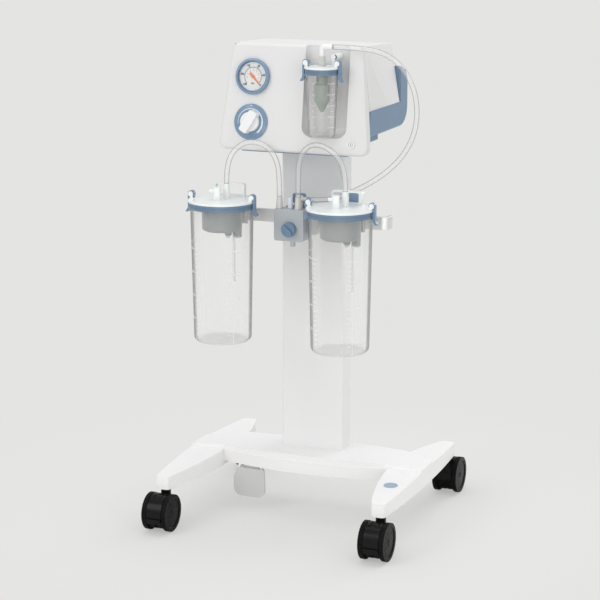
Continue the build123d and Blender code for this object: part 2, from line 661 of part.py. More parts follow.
def niche_back_zone():
    """Space behind the front panel that the niche's liner may fill below the parting line."""
    with BuildPart() as zone:
        with BuildSketch(Plane.XY.offset(HOUSING_BOTTOM - PUMP_WALL)):
            with Locations((NICHE_X, (FACE_BOTTOM_Y + 12 + NICHE_BACK_Y + PUMP_WALL) / 2)):
                Rectangle(NICHE_W + 2 * PUMP_WALL, NICHE_BACK_Y + PUMP_WALL - FACE_BOTTOM_Y - 12)
        extrude(amount=PARTING_Z - HOUSING_BOTTOM + 2 * PUMP_WALL)
    return zone.part


def pump_cover():
    """White moulding: panel, sides and roof in one wall, with the niche and the holes in its face."""
    with BuildPart() as cover:
        add(body_block(0))
        for side in (-1, 1):
            add(side_flute(side), mode=Mode.SUBTRACT)
        add(front_block(0))
        add(front_block(PUMP_WALL), mode=Mode.SUBTRACT)
        core = body_block(PUMP_WALL)
        for side in (-1, 1):
            core = core - side_flute(side, PUMP_WALL)
        add(core, mode=Mode.SUBTRACT)
        liner = niche_block(PUMP_WALL) & (front_block(0) + body_block(0) + niche_back_zone())
        add(liner)
        add(niche_block(0), mode=Mode.SUBTRACT)
        with BuildSketch(face_plane(DIAL_X, GAUGE_Z)):
            Circle(GAUGE_DIA / 2 + GAUGE_CLEAR)
        extrude(amount=-3 * PUMP_WALL, mode=Mode.SUBTRACT)
        with BuildSketch(face_plane(DIAL_X, DIAL_Z)):
            Circle(SHAFT_DIA / 2 + 0.5)
        extrude(amount=-3 * PUMP_WALL, mode=Mode.SUBTRACT)
        with BuildSketch(face_plane(BUTTON_X, BUTTON_Z).offset(-PUMP_WALL)):
            Circle(BUTTON_DIA / 2 + 2.2)
        extrude(amount=-6)
        with BuildSketch(face_plane(BUTTON_X, BUTTON_Z)):
            Circle(BUTTON_DIA / 2 + GAUGE_CLEAR)
        extrude(amount=-PUMP_WALL - 6, mode=Mode.SUBTRACT)
        with BuildSketch(front_plane(NICHE_BACK_Y)):
            with Locations((PORT_X, PORT_Z)):
                Circle(PORT_DIA / 2 - 2)
        extrude(amount=-PUMP_WALL, mode=Mode.SUBTRACT)
    return finish(cover, "pump_cover")


SHELL_GAP = 0.2
BOSS_H = 8.0
INLET_PLATE_W = 50.0
INLET_PLATE_H = 28.0
INLET_PLATE_X = -80.0
INLET_PLATE_Z = 848.0
VENT_X = 60.0
VENT_PITCH = 7.0
VENT_LENGTH = 70.0
VENT_WIDTH = 3.0
INLET_HOLE_W = INLET_PLATE_W - 14.0
INLET_HOLE_H = INLET_PLATE_H - 5.0


def pump_housing():
    """Blue lower housing, open at the top and front, whose rear shell rises behind the cover."""
    front = face_y(HOUSING_BOTTOM) + FACE_DEPTH + SHELL_GAP
    front_high = face_y(PARTING_Z) + FACE_DEPTH + SHELL_GAP
    with BuildPart() as housing:
        with BuildSketch(Plane.YZ.offset(-BODY_HALF)) as side_view:
            with BuildLine():
                Polyline((BODY_REAR_Y + SHELL_GAP, PARTING_Z), (front_high, PARTING_Z),
                         (front, HOUSING_BOTTOM),
                         (SHELL_REAR_Y - SHELL_RADIUS, HOUSING_BOTTOM))
                RadiusArc((SHELL_REAR_Y - SHELL_RADIUS, HOUSING_BOTTOM),
                          (SHELL_REAR_Y, HOUSING_BOTTOM + SHELL_RADIUS), -SHELL_RADIUS)
                Polyline((SHELL_REAR_Y, HOUSING_BOTTOM + SHELL_RADIUS), (SHELL_REAR_Y, SHELL_TOP - 24),
                         (SHELL_REAR_Y - 8, SHELL_TOP - 8), (BODY_REAR_Y + SHELL_GAP, SHELL_TOP + 6),
                         (BODY_REAR_Y + SHELL_GAP, PARTING_Z))
            make_face()
        extrude(amount=2 * BODY_HALF)
        rear = housing.faces().filter_by(Axis.X)
        fillet([e for f in rear for e in f.edges() if e.center().Y > SHELL_REAR_Y - SHELL_RADIUS / 2
                and e.center().Z < SHELL_TOP - 10], 7)
        with BuildSketch(Plane.YZ.offset(-BODY_HALF + PUMP_WALL)):
            add(side_view.sketch_local.face())
            offset(amount=-PUMP_WALL, kind=Kind.INTERSECTION)
        extrude(amount=2 * (BODY_HALF - PUMP_WALL), mode=Mode.SUBTRACT)
        with Locations((0, (front + BODY_REAR_Y - PUMP_WALL) / 2 - 5, PARTING_Z)):
            Box(2 * (BODY_HALF - PUMP_WALL), BODY_REAR_Y - PUMP_WALL - front + 10, 20, mode=Mode.SUBTRACT)
        with Locations((0, front, (HOUSING_BOTTOM + PUMP_WALL + PARTING_Z) / 2)):
            Box(2 * (BODY_HALF - PUMP_WALL), 20, PARTING_Z - HOUSING_BOTTOM - PUMP_WALL, mode=Mode.SUBTRACT)
        with Locations((NICHE_X, front, HOUSING_BOTTOM)):
            Box(NICHE_W + 2 * PUMP_WALL + 1, 2 * (NICHE_BACK_Y + PUMP_WALL + 0.5 - front), 40,
                mode=Mode.SUBTRACT)
        with BuildSketch(front_plane(SHELL_REAR_Y + 1)):
            with Locations((INLET_PLATE_X, INLET_PLATE_Z)):
                Rectangle(INLET_HOLE_W, INLET_HOLE_H)
            with Locations((VENT_X, INLET_PLATE_Z)):
                with GridLocations(1, VENT_PITCH, 1, 5):
                    SlotOverall(VENT_LENGTH, VENT_WIDTH)
        extrude(amount=PUMP_WALL + 2, mode=Mode.SUBTRACT)
        with Locations((0, COLUMN_Y, HOUSING_BOTTOM)):
            with GridLocations(2 * PUMP_SCREW_X, 2 * PUMP_SCREW_Y, 2, 2):
                Cylinder(SCREW_HEAD, BOSS_H, align=(Align.CENTER, Align.CENTER, Align.MIN))
                Cylinder(SCREW_DIA / 2 + RUN_CLEAR, BOSS_H - 1,
                         align=(Align.CENTER, Align.CENTER, Align.MIN), mode=Mode.SUBTRACT)
    return finish(housing, "pump_housing")


DOCK_HALF = 90.0
DOCK_REAR_Y = COLUMN_Y + FLANGE_D / 2 + 4


TRAY_ROUND = 10.0
DOCK_ROUND = 8.0
DOCK_OVERLAP = 20.0
NICHE_CLEAR = 0.5
POCKETS_X = (-95.0, 0.0, 98.0)
POCKET_W = 60.0
POCKET_RIM = 30.0
POCKET_DEPTH = 4.0


def pump_tray():
    """Blue step under the pump, with the pad that stands on the column's flange."""
    front = FACE_BOTTOM_Y + FACE_DEPTH + 4
    bottom = HOUSING_BOTTOM - TRAY_DEPTH
    with BuildPart() as tray:
        with BuildSketch(Plane.XY.offset(bottom)) as plan:
            with Locations((0, (front + TRAY_REAR_Y) / 2)):
                RectangleRounded(2 * TRAY_HALF, TRAY_REAR_Y - front, TRAY_ROUND)
            with Locations((0, (TRAY_REAR_Y - DOCK_OVERLAP + DOCK_REAR_Y) / 2)):
                RectangleRounded(2 * DOCK_HALF, DOCK_REAR_Y - TRAY_REAR_Y + DOCK_OVERLAP, DOCK_ROUND)
            with Locations((0, COLUMN_Y)):
                with GridLocations(2 * PUMP_SCREW_X, 2 * PUMP_SCREW_Y, 2, 2):
                    Circle(SCREW_DIA / 2 + RUN_CLEAR, mode=Mode.SUBTRACT)
        extrude(amount=TRAY_DEPTH)
        with Locations((NICHE_X, front, HOUSING_BOTTOM)):
            Box(NICHE_W + 2 * (PUMP_WALL + NICHE_CLEAR),
                2 * (NICHE_BACK_Y + PUMP_WALL + NICHE_CLEAR - front),
                2 * (PUMP_WALL + NICHE_CLEAR), mode=Mode.SUBTRACT)
        with Locations((0, (front + TRAY_REAR_Y) / 2, HOUSING_BOTTOM)):
            with Locations(*[(x, 0, 0) for x in POCKETS_X]):
                Box(POCKET_W, TRAY_REAR_Y - front - 2 * POCKET_RIM, 2 * POCKET_DEPTH, mode=Mode.SUBTRACT)
    return finish(tray, "pump_tray")


# Gauge and vacuum dial, both square to the leaning face.
BEZEL_H = 9.0
WINDOW_T = 2.0
WINDOW_SEAT = 5.5
DIAL_FACE = 2.0
CASE_DEPTH = 24.0
NEEDLE_LENGTH = 24.5
NEEDLE_TAIL = 9.0
NEEDLE_ROOT_HALF = 2.4
NEEDLE_TIP_HALF = 0.5
NEEDLE_PIN = 2.0
NEEDLE_BORE = 3.0
BEZEL_FIT = 0.1
BEZEL_ROUND = 3.0
WINDOW_LIP = 2.0
GAUGE_STEM_DIA = 12.0
GAUGE_STEM = 12.0
RING_H = 5.0
KNOB_H = 6.0
GRIP_H = 8.0
GRIP_W = 20.0
GRIP_LENGTH = 47.0
GRIP_ROUND = 5.0
GRIP_TILT = -30.0


def gauge_bezel():
    """Blue ring with a rounded outer shoulder and a seat for the window."""
    plane = face_plane(DIAL_X, GAUGE_Z)
    with BuildPart() as bezel:
        with BuildSketch(plane):
            Circle(BEZEL_DIA / 2)
            Circle(GAUGE_DIA / 2 + BEZEL_FIT, mode=Mode.SUBTRACT)
        extrude(amount=BEZEL_H)
        with BuildSketch(plane.offset(WINDOW_SEAT)):
            Circle(GAUGE_DIA / 2 + WINDOW_LIP)
        extrude(amount=BEZEL_H, mode=Mode.SUBTRACT)
        rim = bezel.edges().filter_by(GeomType.CIRCLE).sort_by(SortBy.RADIUS)[-1].radius
        outer = [e for e in bezel.edges().filter_by(GeomType.CIRCLE)
                 if e.radius > rim - 0.1 and e.arc_center.Y < face_y(GAUGE_Z) - BEZEL_ROUND]
        fillet(outer, BEZEL_ROUND)
    return finish(bezel, "gauge_bezel")


def gauge_dial():
    """Case behind the face with the white dial plate on its front and the pressure stem at its back."""
    plane = face_plane(DIAL_X, GAUGE_Z)
    with BuildPart() as case:
        with BuildSketch(plane.offset(DIAL_FACE)):
            Circle(GAUGE_DIA / 2)
        extrude(amount=-CASE_DEPTH - DIAL_FACE)
        with BuildSketch(plane.offset(-CASE_DEPTH)):
            Circle(GAUGE_STEM_DIA / 2)
        extrude(amount=-GAUGE_STEM)
        with BuildSketch(plane.offset(DIAL_FACE)):
            Circle(NEEDLE_PIN / 2 + RUN_CLEAR)
        extrude(amount=-NEEDLE_BORE, mode=Mode.SUBTRACT)
    return finish(case, "gauge_dial")


NEEDLE_REST = -46.0


def gauge_needle():
    """Tapered pointer with a short tail, a hub and its pin."""
    plane = face_plane(DIAL_X, GAUGE_Z).offset(DIAL_FACE)
    turn = math.radians(NEEDLE_REST)
    with BuildPart() as needle:
        with BuildSketch(plane.offset(0.3)):
            Circle(3.2)
        extrude(amount=2.4)
        with BuildSketch(plane.offset(1.0)):
            with BuildLine():
                tip = (NEEDLE_LENGTH * math.cos(turn), NEEDLE_LENGTH * math.sin(turn))
                tail = (-NEEDLE_TAIL * math.cos(turn), -NEEDLE_TAIL * math.sin(turn))
                across = (-math.sin(turn), math.cos(turn))
                Polyline((tail[0] + NEEDLE_ROOT_HALF * across[0], tail[1] + NEEDLE_ROOT_HALF * across[1]),
                         (tip[0] + NEEDLE_TIP_HALF * across[0], tip[1] + NEEDLE_TIP_HALF * across[1]),
                         (tip[0] - NEEDLE_TIP_HALF * across[0], tip[1] - NEEDLE_TIP_HALF * across[1]),
                         (tail[0] - NEEDLE_ROOT_HALF * across[0], tail[1] - NEEDLE_ROOT_HALF * across[1]),
                         close=True)
            make_face()
        extrude(amount=0.8)
        with BuildSketch(plane.offset(0.3)):
            Circle(NEEDLE_PIN / 2)
        extrude(amount=-2.8)
    return finish(needle, "gauge_needle")


def gauge_window():
    """Clear disc on the bezel's seat."""
    with BuildPart() as window:
        with BuildSketch(face_plane(DIAL_X, GAUGE_Z).offset(WINDOW_SEAT)):
            Circle(GAUGE_DIA / 2 + 2 - RUN_CLEAR)
        extrude(amount=WINDOW_T)
    return finish(window, "gauge_window")


def dial_ring():
    """Blue scale ring round the vacuum knob, its face sloped outward."""
    with BuildPart() as ring:
        with BuildSketch(face_plane(DIAL_X, DIAL_Z)):
            Circle(BEZEL_DIA / 2)
            Circle(KNOB_DIA / 2 - 6, mode=Mode.SUBTRACT)
        extrude(amount=RING_H)
        top = ring.faces().sort_by(Axis.Y)[0]
        chamfer(top.edges().sort_by(SortBy.RADIUS)[-1], 3, 8)
    return finish(ring, "dial_ring")


def vacuum_knob():
    """Round knob with a raised grip bar across it and the shaft into the regulator."""
    plane = face_plane(DIAL_X, DIAL_Z).offset(RING_H + SEAT_GAP)
    with BuildPart() as knob:
        with BuildSketch(plane):
            Circle(KNOB_DIA / 2)
        extrude(amount=KNOB_H, taper=6)
        fillet(knob.faces().sort_by(Axis.Y)[0].edges(), 1.5)
        with BuildSketch(plane) as grip:
            with Locations(Rotation(0, 0, GRIP_TILT)):
                RectangleRounded(GRIP_W, GRIP_LENGTH, GRIP_ROUND)
        extrude(amount=KNOB_H + GRIP_H, taper=4)
        fillet(knob.faces().sort_by(Axis.Y)[0].edges(), 1.5)
        with BuildSketch(plane):
            Circle(SHAFT_DIA / 2)
        extrude(amount=-24)
    return finish(knob, "vacuum_knob")


BUTTON_PROUD = 2.0
BUTTON_LENGTH = 9.5
DISH_RIM = 3.0
DISH_DEPTH = 0.6
DISH_TAPER = 20.0


def power_button():
    """Round push button in its sleeve, with a shallow dish in the middle."""
    plane = face_plane(BUTTON_X, BUTTON_Z)
    with BuildPart() as button:
        with BuildSketch(plane.offset(BUTTON_PROUD)):
            Circle(BUTTON_DIA / 2)
        extrude(amount=-BUTTON_LENGTH)
        with BuildSketch(plane.offset(BUTTON_PROUD)):
            Circle(BUTTON_DIA / 2 - DISH_RIM)
        extrude(amount=-DISH_DEPTH, mode=Mode.SUBTRACT, taper=DISH_TAPER)
    return finish(button, "power_button")


FLOOR_Z = HOUSING_BOTTOM + PUMP_WALL
PUMP_Y = 45.0
MOTOR_X = -70.0
MOTOR_DIA = 78.0
MOTOR_LENGTH = 110.0
MOTOR_LIFT = 6.0
MOTOR_RIBS = 6
MOTOR_RIB_PITCH = 18.0
MOTOR_RIB_T = 4.0
MOTOR_RIB_H = 3.0
MOTOR_FOOT_X = 30.0
MOTOR_FOOT = (14.0, 60.0, 16.0)
HEAD_X = 15.0
HEAD = (60.0, 64.0, 62.0)
CYLINDER_R = 15.0
CYLINDER_H = 34.0
CYLINDER_Y = 18.0
BRIDGE = (44.0, 70.0, 10.0)
INLET_PIPE_R = 5.0
INLET_PIPE_LENGTH = 20.0


def pump_unit():
    """Motor with cooling ribs, its two feet, and the twin-cylinder piston head beside it."""
    standing = (Align.CENTER, Align.CENTER, Align.MIN)
    first_rib = -MOTOR_RIB_PITCH * (MOTOR_RIBS - 1) / 2
    bridge_z = FLOOR_Z + HEAD[2] + CYLINDER_H
    with BuildPart() as unit:
        with Locations((MOTOR_X, PUMP_Y, FLOOR_Z + MOTOR_DIA / 2 + MOTOR_LIFT)):
            Cylinder(MOTOR_DIA / 2 - MOTOR_RIB_H, MOTOR_LENGTH, rotation=(0, 90, 0))
            with Locations(*[(first_rib + MOTOR_RIB_PITCH * rib, 0, 0) for rib in range(MOTOR_RIBS)]):
                Cylinder(MOTOR_DIA / 2, MOTOR_RIB_T, rotation=(0, 90, 0))
        with Locations((MOTOR_X - MOTOR_FOOT_X, PUMP_Y, FLOOR_Z), (MOTOR_X + MOTOR_FOOT_X, PUMP_Y, FLOOR_Z)):
            Box(*MOTOR_FOOT, align=standing)
        with Locations((HEAD_X, PUMP_Y, FLOOR_Z)):
            Box(*HEAD, align=standing)
        with Locations((HEAD_X, PUMP_Y - CYLINDER_Y, FLOOR_Z + HEAD[2]),
                       (HEAD_X, PUMP_Y + CYLINDER_Y, FLOOR_Z + HEAD[2])):
            Cylinder(CYLINDER_R, CYLINDER_H, align=standing)
        with Locations((HEAD_X, PUMP_Y, bridge_z)):
            Box(*BRIDGE, align=standing)
        with Locations((HEAD_X, PUMP_Y - BRIDGE[1] / 2, bridge_z + BRIDGE[2] / 2)):
            Cylinder(INLET_PIPE_R, INLET_PIPE_LENGTH, rotation=(90, 0, 0))
    return finish(unit, "pump_unit")


REGULATOR_DIA = 30.0
REGULATOR_DEPTH = 30.0
REGULATOR_NECK_DIA = 20.0
REGULATOR_NECK = 9.0
SHAFT_BORE = 20.0
BARB_DIA = 8.0
BARB_LENGTH = 12.0
BARB_AT = (18.0, 22.0, -3.0)


def vacuum_regulator():
    """Regulator valve behind the dial, bored for the knob's shaft, with its hose barb."""
    plane = face_plane(DIAL_X, DIAL_Z).offset(-PUMP_WALL)
    with BuildPart() as regulator:
        with BuildSketch(plane):
            Circle(REGULATOR_DIA / 2)
        extrude(amount=-REGULATOR_DEPTH)
        with BuildSketch(plane.offset(-REGULATOR_DEPTH)):
            Circle(REGULATOR_NECK_DIA / 2)
        extrude(amount=-REGULATOR_NECK)
        with BuildSketch(plane):
            Circle(SHAFT_DIA / 2 + RUN_CLEAR)
        extrude(amount=-SHAFT_BORE, mode=Mode.SUBTRACT)
        with Locations((DIAL_X + BARB_AT[0], face_y(DIAL_Z) + BARB_AT[1], DIAL_Z + BARB_AT[2])):
            Cylinder(BARB_DIA / 2, BARB_LENGTH, rotation=(0, 90, 0))
    return finish(regulator, "vacuum_regulator")


BOARD_AT = (100.0, 40.0)
BOARD_W = 76.0
BOARD_D = 120.0
BOARD_T = 1.6
POST_H = 12.0
POST_R = 3.0
POST_INSET = 5.0
TRANSFORMER_Y = 35.0
TRANSFORMER = (46.0, 38.0, 36.0)
RELAY_AT = (-16.0, -20.0)
RELAY = (18.0, 26.0, 16.0)
CAPACITORS_AT = ((16.0, -30.0), (16.0, -8.0))
CAPACITOR_R = 8.0
CAPACITOR_H = 22.0


def control_board():
    """Circuit board on four posts, with its transformer, relay and capacitors."""
    standing = (Align.CENTER, Align.CENTER, Align.MIN)
    board_x, board_y = BOARD_AT
    upper_z = FLOOR_Z + POST_H + BOARD_T
    with BuildPart() as board:
        with Locations((board_x, board_y, FLOOR_Z + POST_H)):
            Box(BOARD_W, BOARD_D, BOARD_T, align=standing)
        with Locations((board_x, board_y, FLOOR_Z)):
            with GridLocations(BOARD_W - 2 * POST_INSET, BOARD_D - 2 * POST_INSET, 2, 2):
                Cylinder(POST_R, POST_H, align=standing)
        with Locations((board_x, board_y + TRANSFORMER_Y, upper_z)):
            Box(*TRANSFORMER, align=standing)
        with Locations((board_x + RELAY_AT[0], board_y + RELAY_AT[1], upper_z)):
            Box(*RELAY, align=standing)
        with Locations(*[(board_x + x, board_y + y, upper_z) for x, y in CAPACITORS_AT]):
            Cylinder(CAPACITOR_R, CAPACITOR_H, align=standing)
    return finish(board, "control_board")


INLET_FLANGE = 2.0
INLET_ROUND = 4.0
INLET_MARGIN_X = 7.3
INLET_MARGIN_Z = 2.8
INLET_BODY = 24.0
MOUTH_W = 24.5
MOUTH_H = 16.5
MOUTH_DEPTH = 16.0
PIN_W = 2.0
PIN_H = 4.0
PIN_SPREAD = 7.0
PIN_RISE = 2.0
PIN_LENGTH = 14.0


def mains_inlet():
    """Three-pin appliance inlet with its flange against the rear shell."""
    with BuildPart() as inlet:
        with BuildSketch(front_plane(SHELL_REAR_Y)):
            with Locations((INLET_PLATE_X, INLET_PLATE_Z)):
                RectangleRounded(INLET_PLATE_W, INLET_PLATE_H, INLET_ROUND)
        extrude(amount=-INLET_FLANGE)
        with BuildSketch(front_plane(SHELL_REAR_Y)):
            with Locations((INLET_PLATE_X, INLET_PLATE_Z)):
                Rectangle(INLET_PLATE_W - 2 * INLET_MARGIN_X, INLET_PLATE_H - 2 * INLET_MARGIN_Z)
        extrude(amount=INLET_BODY)
        with BuildSketch(front_plane(SHELL_REAR_Y + INLET_FLANGE)):
            with Locations((INLET_PLATE_X, INLET_PLATE_Z)):
                Rectangle(MOUTH_W, MOUTH_H)
        extrude(amount=MOUTH_DEPTH + INLET_FLANGE, mode=Mode.SUBTRACT)
        with BuildSketch(front_plane(SHELL_REAR_Y - MOUTH_DEPTH)):
            with Locations((INLET_PLATE_X - PIN_SPREAD, INLET_PLATE_Z - PIN_RISE),
                           (INLET_PLATE_X, INLET_PLATE_Z + PIN_RISE),
                           (INLET_PLATE_X + PIN_SPREAD, INLET_PLATE_Z - PIN_RISE)):
                Rectangle(PIN_W, PIN_H)
        extrude(amount=-PIN_LENGTH)
    return finish(inlet, "mains_inlet")


pump_cover()
pump_housing()
pump_tray()
gauge_bezel()
gauge_dial()
gauge_needle()
gauge_window()
dial_ring()
vacuum_knob()
power_button()
pump_unit()
vacuum_regulator()
control_board()
mains_inlet()


# Jars, lids, rings and clips. The same clip closes the large jars and the safety jar.
CLIP_STRAP = 4.2
CLIP_WIDTH = 9.0
CLIP_LOOP = 6.6
CLIP_TAIL = 29.0
CLIP_CATCH = 0.6
CLIP_OFF = 0.6
CLIP_LOOP_WALL = 3.6
EAR_T = 2.0
EAR_GAP = 0.3
CUP_LID_TOP = PUMP_TOP - 37.0
CUP_LID_PLATE = 3.5
CUP_RING_HEIGHT = 11.0
NECK_GAP = 0.3
FLANGE_H = 4.5


class Lid:
    """Place and size of one lid, which its ring, jar and clips share."""

    def __init__(self, x, y, top, radius, plate, ring):
        self.x = x
        self.y = y
        self.top = top
        self.radius = radius
        self.under = top - plate
        self.ring_low = self.under - ring
        self.ring_radius = radius - 1.5
        self.neck = self.ring_radius - RING_WALL - NECK_GAP
        self.strap_in = radius + CLIP_OFF
        self.loop_x = self.strap_in + CLIP_STRAP - CLIP_LOOP
        self.loop_z = top + CLIP_LOOP + SEAT_GAP


LEFT = Lid(-JAR_X, JAR_Y, LID_TOP, LID_RADIUS, LID_PLATE, RING_HEIGHT)
RIGHT = Lid(JAR_X, JAR_Y, LID_TOP, LID_RADIUS, LID_PLATE, RING_HEIGHT)
SAFETY = Lid(CUP_X, CUP_Y, CUP_LID_TOP, CUP_LID_RADIUS, CUP_LID_PLATE, CUP_RING_HEIGHT)


def clip(lid, side, label):
    """S-shaped clip: a loop on the lid's pin, a strap past the ring, a catch under it, a flared tail."""
    inner = lid.strap_in
    outer = inner + CLIP_STRAP
    low = lid.top - CLIP_TAIL
    catch = lid.ring_low - SEAT_GAP

    def at(x, z):
        return (lid.x + side * x, z)

    with BuildPart() as piece:
        with BuildSketch(front_plane(lid.y + CLIP_WIDTH / 2)):
            with BuildLine():
                Polyline(at(outer, lid.loop_z), at(inner, lid.loop_z), at(inner, catch + 2.5),
                         at(inner, catch), at(lid.ring_radius - CLIP_CATCH, catch),
                         at(lid.ring_radius - CLIP_CATCH, catch - 2), at(inner, catch - 4))
                ThreePointArc(at(inner, catch - 4), at(inner + 1.4, low + 3.6), at(inner + 6.2, low))
                ThreePointArc(at(inner + 6.2, low), at(inner + 8.4, low + 0.6), at(inner + 8.6, low + 2.8))
                ThreePointArc(at(inner + 8.6, low + 2.8), at(outer + 0.9, low + 7.5), at(outer, catch - 2))
                Line(at(outer, catch - 2), at(outer, lid.loop_z))
            make_face()
            with Locations(at(lid.loop_x, lid.loop_z)):
                Circle(CLIP_LOOP)
                Circle(CLIP_LOOP - CLIP_LOOP_WALL, mode=Mode.SUBTRACT)
        extrude(amount=CLIP_WIDTH)
    return finish(piece, label)


def clip_ears(lid):
    """Two ears and a pin for each clip, standing on the lid's edge."""
    pin = CLIP_LOOP - CLIP_LOOP_WALL - RUN_CLEAR
    reach = CLIP_WIDTH / 2 + EAR_GAP + EAR_T
    with BuildPart() as ears:
        for side in (-1, 1):
            pin_x = lid.x + side * lid.loop_x
            for edge in (-reach, reach - EAR_T):
                with BuildSketch(front_plane(lid.y + edge + EAR_T)):
                    with Locations((pin_x, lid.loop_z)):
                        Circle(CLIP_LOOP - 1.6)
                    with Locations((pin_x - side * 2, (lid.loop_z + lid.top) / 2 - 1)):
                        Rectangle(6, lid.loop_z - lid.top + 2)
                extrude(amount=EAR_T)
            with Locations((pin_x, lid.y, lid.loop_z)):
                Cylinder(pin, 2 * reach, rotation=(90, 0, 0))
    return ears.part


def jar(lid, bottom, radius, foot, wall, label):
    """Clear tapered jar with a flange under the ring and a straight neck inside it."""
    top = lid.under - SEAT_GAP
    flange_low = lid.ring_low - 0.5 - FLANGE_H
    corner = 4 * wall
    with BuildPart() as vessel:
        with BuildSketch(Plane.XZ) as profile:
            with BuildLine():
                Polyline((0, bottom), (foot, bottom), (radius, flange_low),
                         (lid.ring_radius - 1, flange_low),
                         (lid.ring_radius - 1, flange_low + FLANGE_H), (lid.neck, flange_low + FLANGE_H),
                         (lid.neck, top), (lid.neck - wall, top), (radius - wall - 0.5, flange_low),
                         (foot - wall, bottom + wall), (0, bottom + wall), close=True)
            make_face()
            fillet(profile.vertices().sort_by_distance((foot, bottom, 0))[0], corner)
            fillet(profile.vertices().sort_by_distance((foot - wall, bottom + wall, 0))[0], corner - wall)
        revolve(axis=Axis.Z)
    vessel.part = vessel.part.moved(Location((lid.x, lid.y, 0)))
    return finish(vessel, label)


TONGUE_W = 20.0
TONGUE_FRONT_Y = -87.8
TONGUE_BACK_Y = -83.0
TONGUE_LOW = 618.0
NOSE_LOW = 621.0
NOSE_H = 13.0
NOSE_BACK_Y = -72.6
HOLDER_W = 40.0
HOLDER_FRONT_Y = TONGUE_BACK_Y + SEAT_GAP
HOLDER_LOW = 604.0
HOLDER_TOP = RAIL_Z + RAIL_H / 2 + 6.0
HOOK_BACK_Y = RAIL_FRONT_Y + RAIL_T + 5.0


def seal_ring(lid, label, tongue):
    """Blue sealing ring round the neck. On a large jar it carries the tongue that hangs in the holder."""
    with BuildPart() as ring:
        with BuildSketch(Plane.XY.offset(lid.ring_low)):
            with Locations((lid.x, lid.y)):
                Circle(lid.ring_radius)
                Circle(lid.ring_radius - RING_WALL, mode=Mode.SUBTRACT)
        extrude(amount=lid.under - lid.ring_low)
        groove_z = (lid.ring_low + lid.under) / 2
        with BuildSketch(Plane.XY.offset(groove_z - 1)):
            with Locations((lid.x, lid.y)):
                Circle(lid.ring_radius + 1)
                Circle(lid.ring_radius - 0.8, mode=Mode.SUBTRACT)
        extrude(amount=2, mode=Mode.SUBTRACT)
        if tongue:
            back = lid.y + lid.ring_radius
            with Locations((lid.x, TONGUE_BACK_Y, lid.under - 2)):
                Box(TONGUE_W, TONGUE_BACK_Y - back + 3, lid.under - 2 - lid.ring_low,
                    align=(Align.CENTER, Align.MAX, Align.MAX))
            with Locations((lid.x, lid.y, lid.under)):
                Cylinder(lid.ring_radius - RING_WALL, 60, mode=Mode.SUBTRACT)
            with Locations((lid.x, TONGUE_BACK_Y, lid.ring_low + 1)):
                Box(TONGUE_W, TONGUE_BACK_Y - TONGUE_FRONT_Y, lid.ring_low + 1 - TONGUE_LOW,
                    align=(Align.CENTER, Align.MAX, Align.MAX))
            with Locations((lid.x, TONGUE_BACK_Y - 1, NOSE_LOW)):
                Box(TONGUE_W - 4, NOSE_BACK_Y - TONGUE_BACK_Y + 1, NOSE_H,
                    align=(Align.CENTER, Align.MIN, Align.MIN))
    return finish(ring, label)


CONNECTOR_X = 5.0
CONNECTOR_Y = 12.0
CONNECTOR_DIA = 12.0
PATIENT_X = -4.0
PATIENT_Y = -13.0
PATIENT_TOP = 689.0
PATIENT_STUB_DIA = 7.0
PATIENT_STUB_DROP = 8.0
PATIENT_REACH = 15.0
PATIENT_TURN = 20.0
PATIENT_W = 13.0
PATIENT_D = 15.0
PATIENT_ROUND = 2.5
HANDLE_HALF = 32.0
HANDLE_Y = 40.0
HANDLE_W = 10.0
HANDLE_T = 3.5


def big_lid(lid, label):
    """Lid of a large jar: domed plate, hose connector, patient port block and strap handle."""
    with BuildPart() as cap:
        with BuildSketch(Plane.XY.offset(lid.under)):
            with Locations((lid.x, lid.y)):
                Circle(lid.radius)
        extrude(amount=lid.top - lid.under)
        fillet(cap.faces().sort_by(Axis.Z)[-1].edges(), 1.5)
        with Locations((lid.x + CONNECTOR_X, lid.y + CONNECTOR_Y, lid.top - 1)):
            Cone(CONNECTOR_DIA / 2 + 1, CONNECTOR_DIA / 2 - 0.5, CONNECTOR_TOP - lid.top + 1,
                 align=(Align.CENTER, Align.CENTER, Align.MIN))
        with BuildSketch(Plane.XY.offset(lid.top - 1)):
            with Locations(Location((lid.x + PATIENT_X, lid.y + PATIENT_Y), PATIENT_TURN)):
                RectangleRounded(PATIENT_W, PATIENT_D, PATIENT_ROUND)
        extrude(amount=PATIENT_TOP - lid.top + 1)
        outward = (-math.cos(math.radians(PATIENT_TURN)), -math.sin(math.radians(PATIENT_TURN)), 0)
        stub_root = (lid.x + PATIENT_X, lid.y + PATIENT_Y, PATIENT_TOP - PATIENT_STUB_DROP)
        with BuildSketch(Plane(origin=stub_root, z_dir=outward)):
            Circle(PATIENT_STUB_DIA / 2)
        extrude(amount=PATIENT_REACH)
        with BuildSketch(front_plane(lid.y + HANDLE_Y + HANDLE_W / 2)) as strap:
            with Locations((lid.x, (HANDLE_TOP + lid.top) / 2 - 0.5)):
                Rectangle(2 * HANDLE_HALF, HANDLE_TOP - lid.top + 1)
            fillet(strap.vertices().group_by(Axis.Y)[-1], 6)
            with Locations((lid.x, (HANDLE_TOP - HANDLE_T + lid.top) / 2 - 1)):
                Rectangle(2 * (HANDLE_HALF - HANDLE_T), HANDLE_TOP - HANDLE_T - lid.top + 2,
                          mode=Mode.SUBTRACT)
        extrude(amount=HANDLE_W)
        add(clip_ears(lid))
    return finish(cap, label)


INSERT_WALL = 2.0
INSERT_FLOOR = 6.0
INSERT_CORNER = 6.0
INSERT_NOZZLE_X = 13.0
INSERT_NOZZLE_R = 7.0
INSERT_NOZZLE_H = 8.0
INSERT_LUG_W = 12.0
INSERT_LUG_D = 16.0
INSERT_LUG_H = 20.0
DROP_TUBE_DIA = 5.0


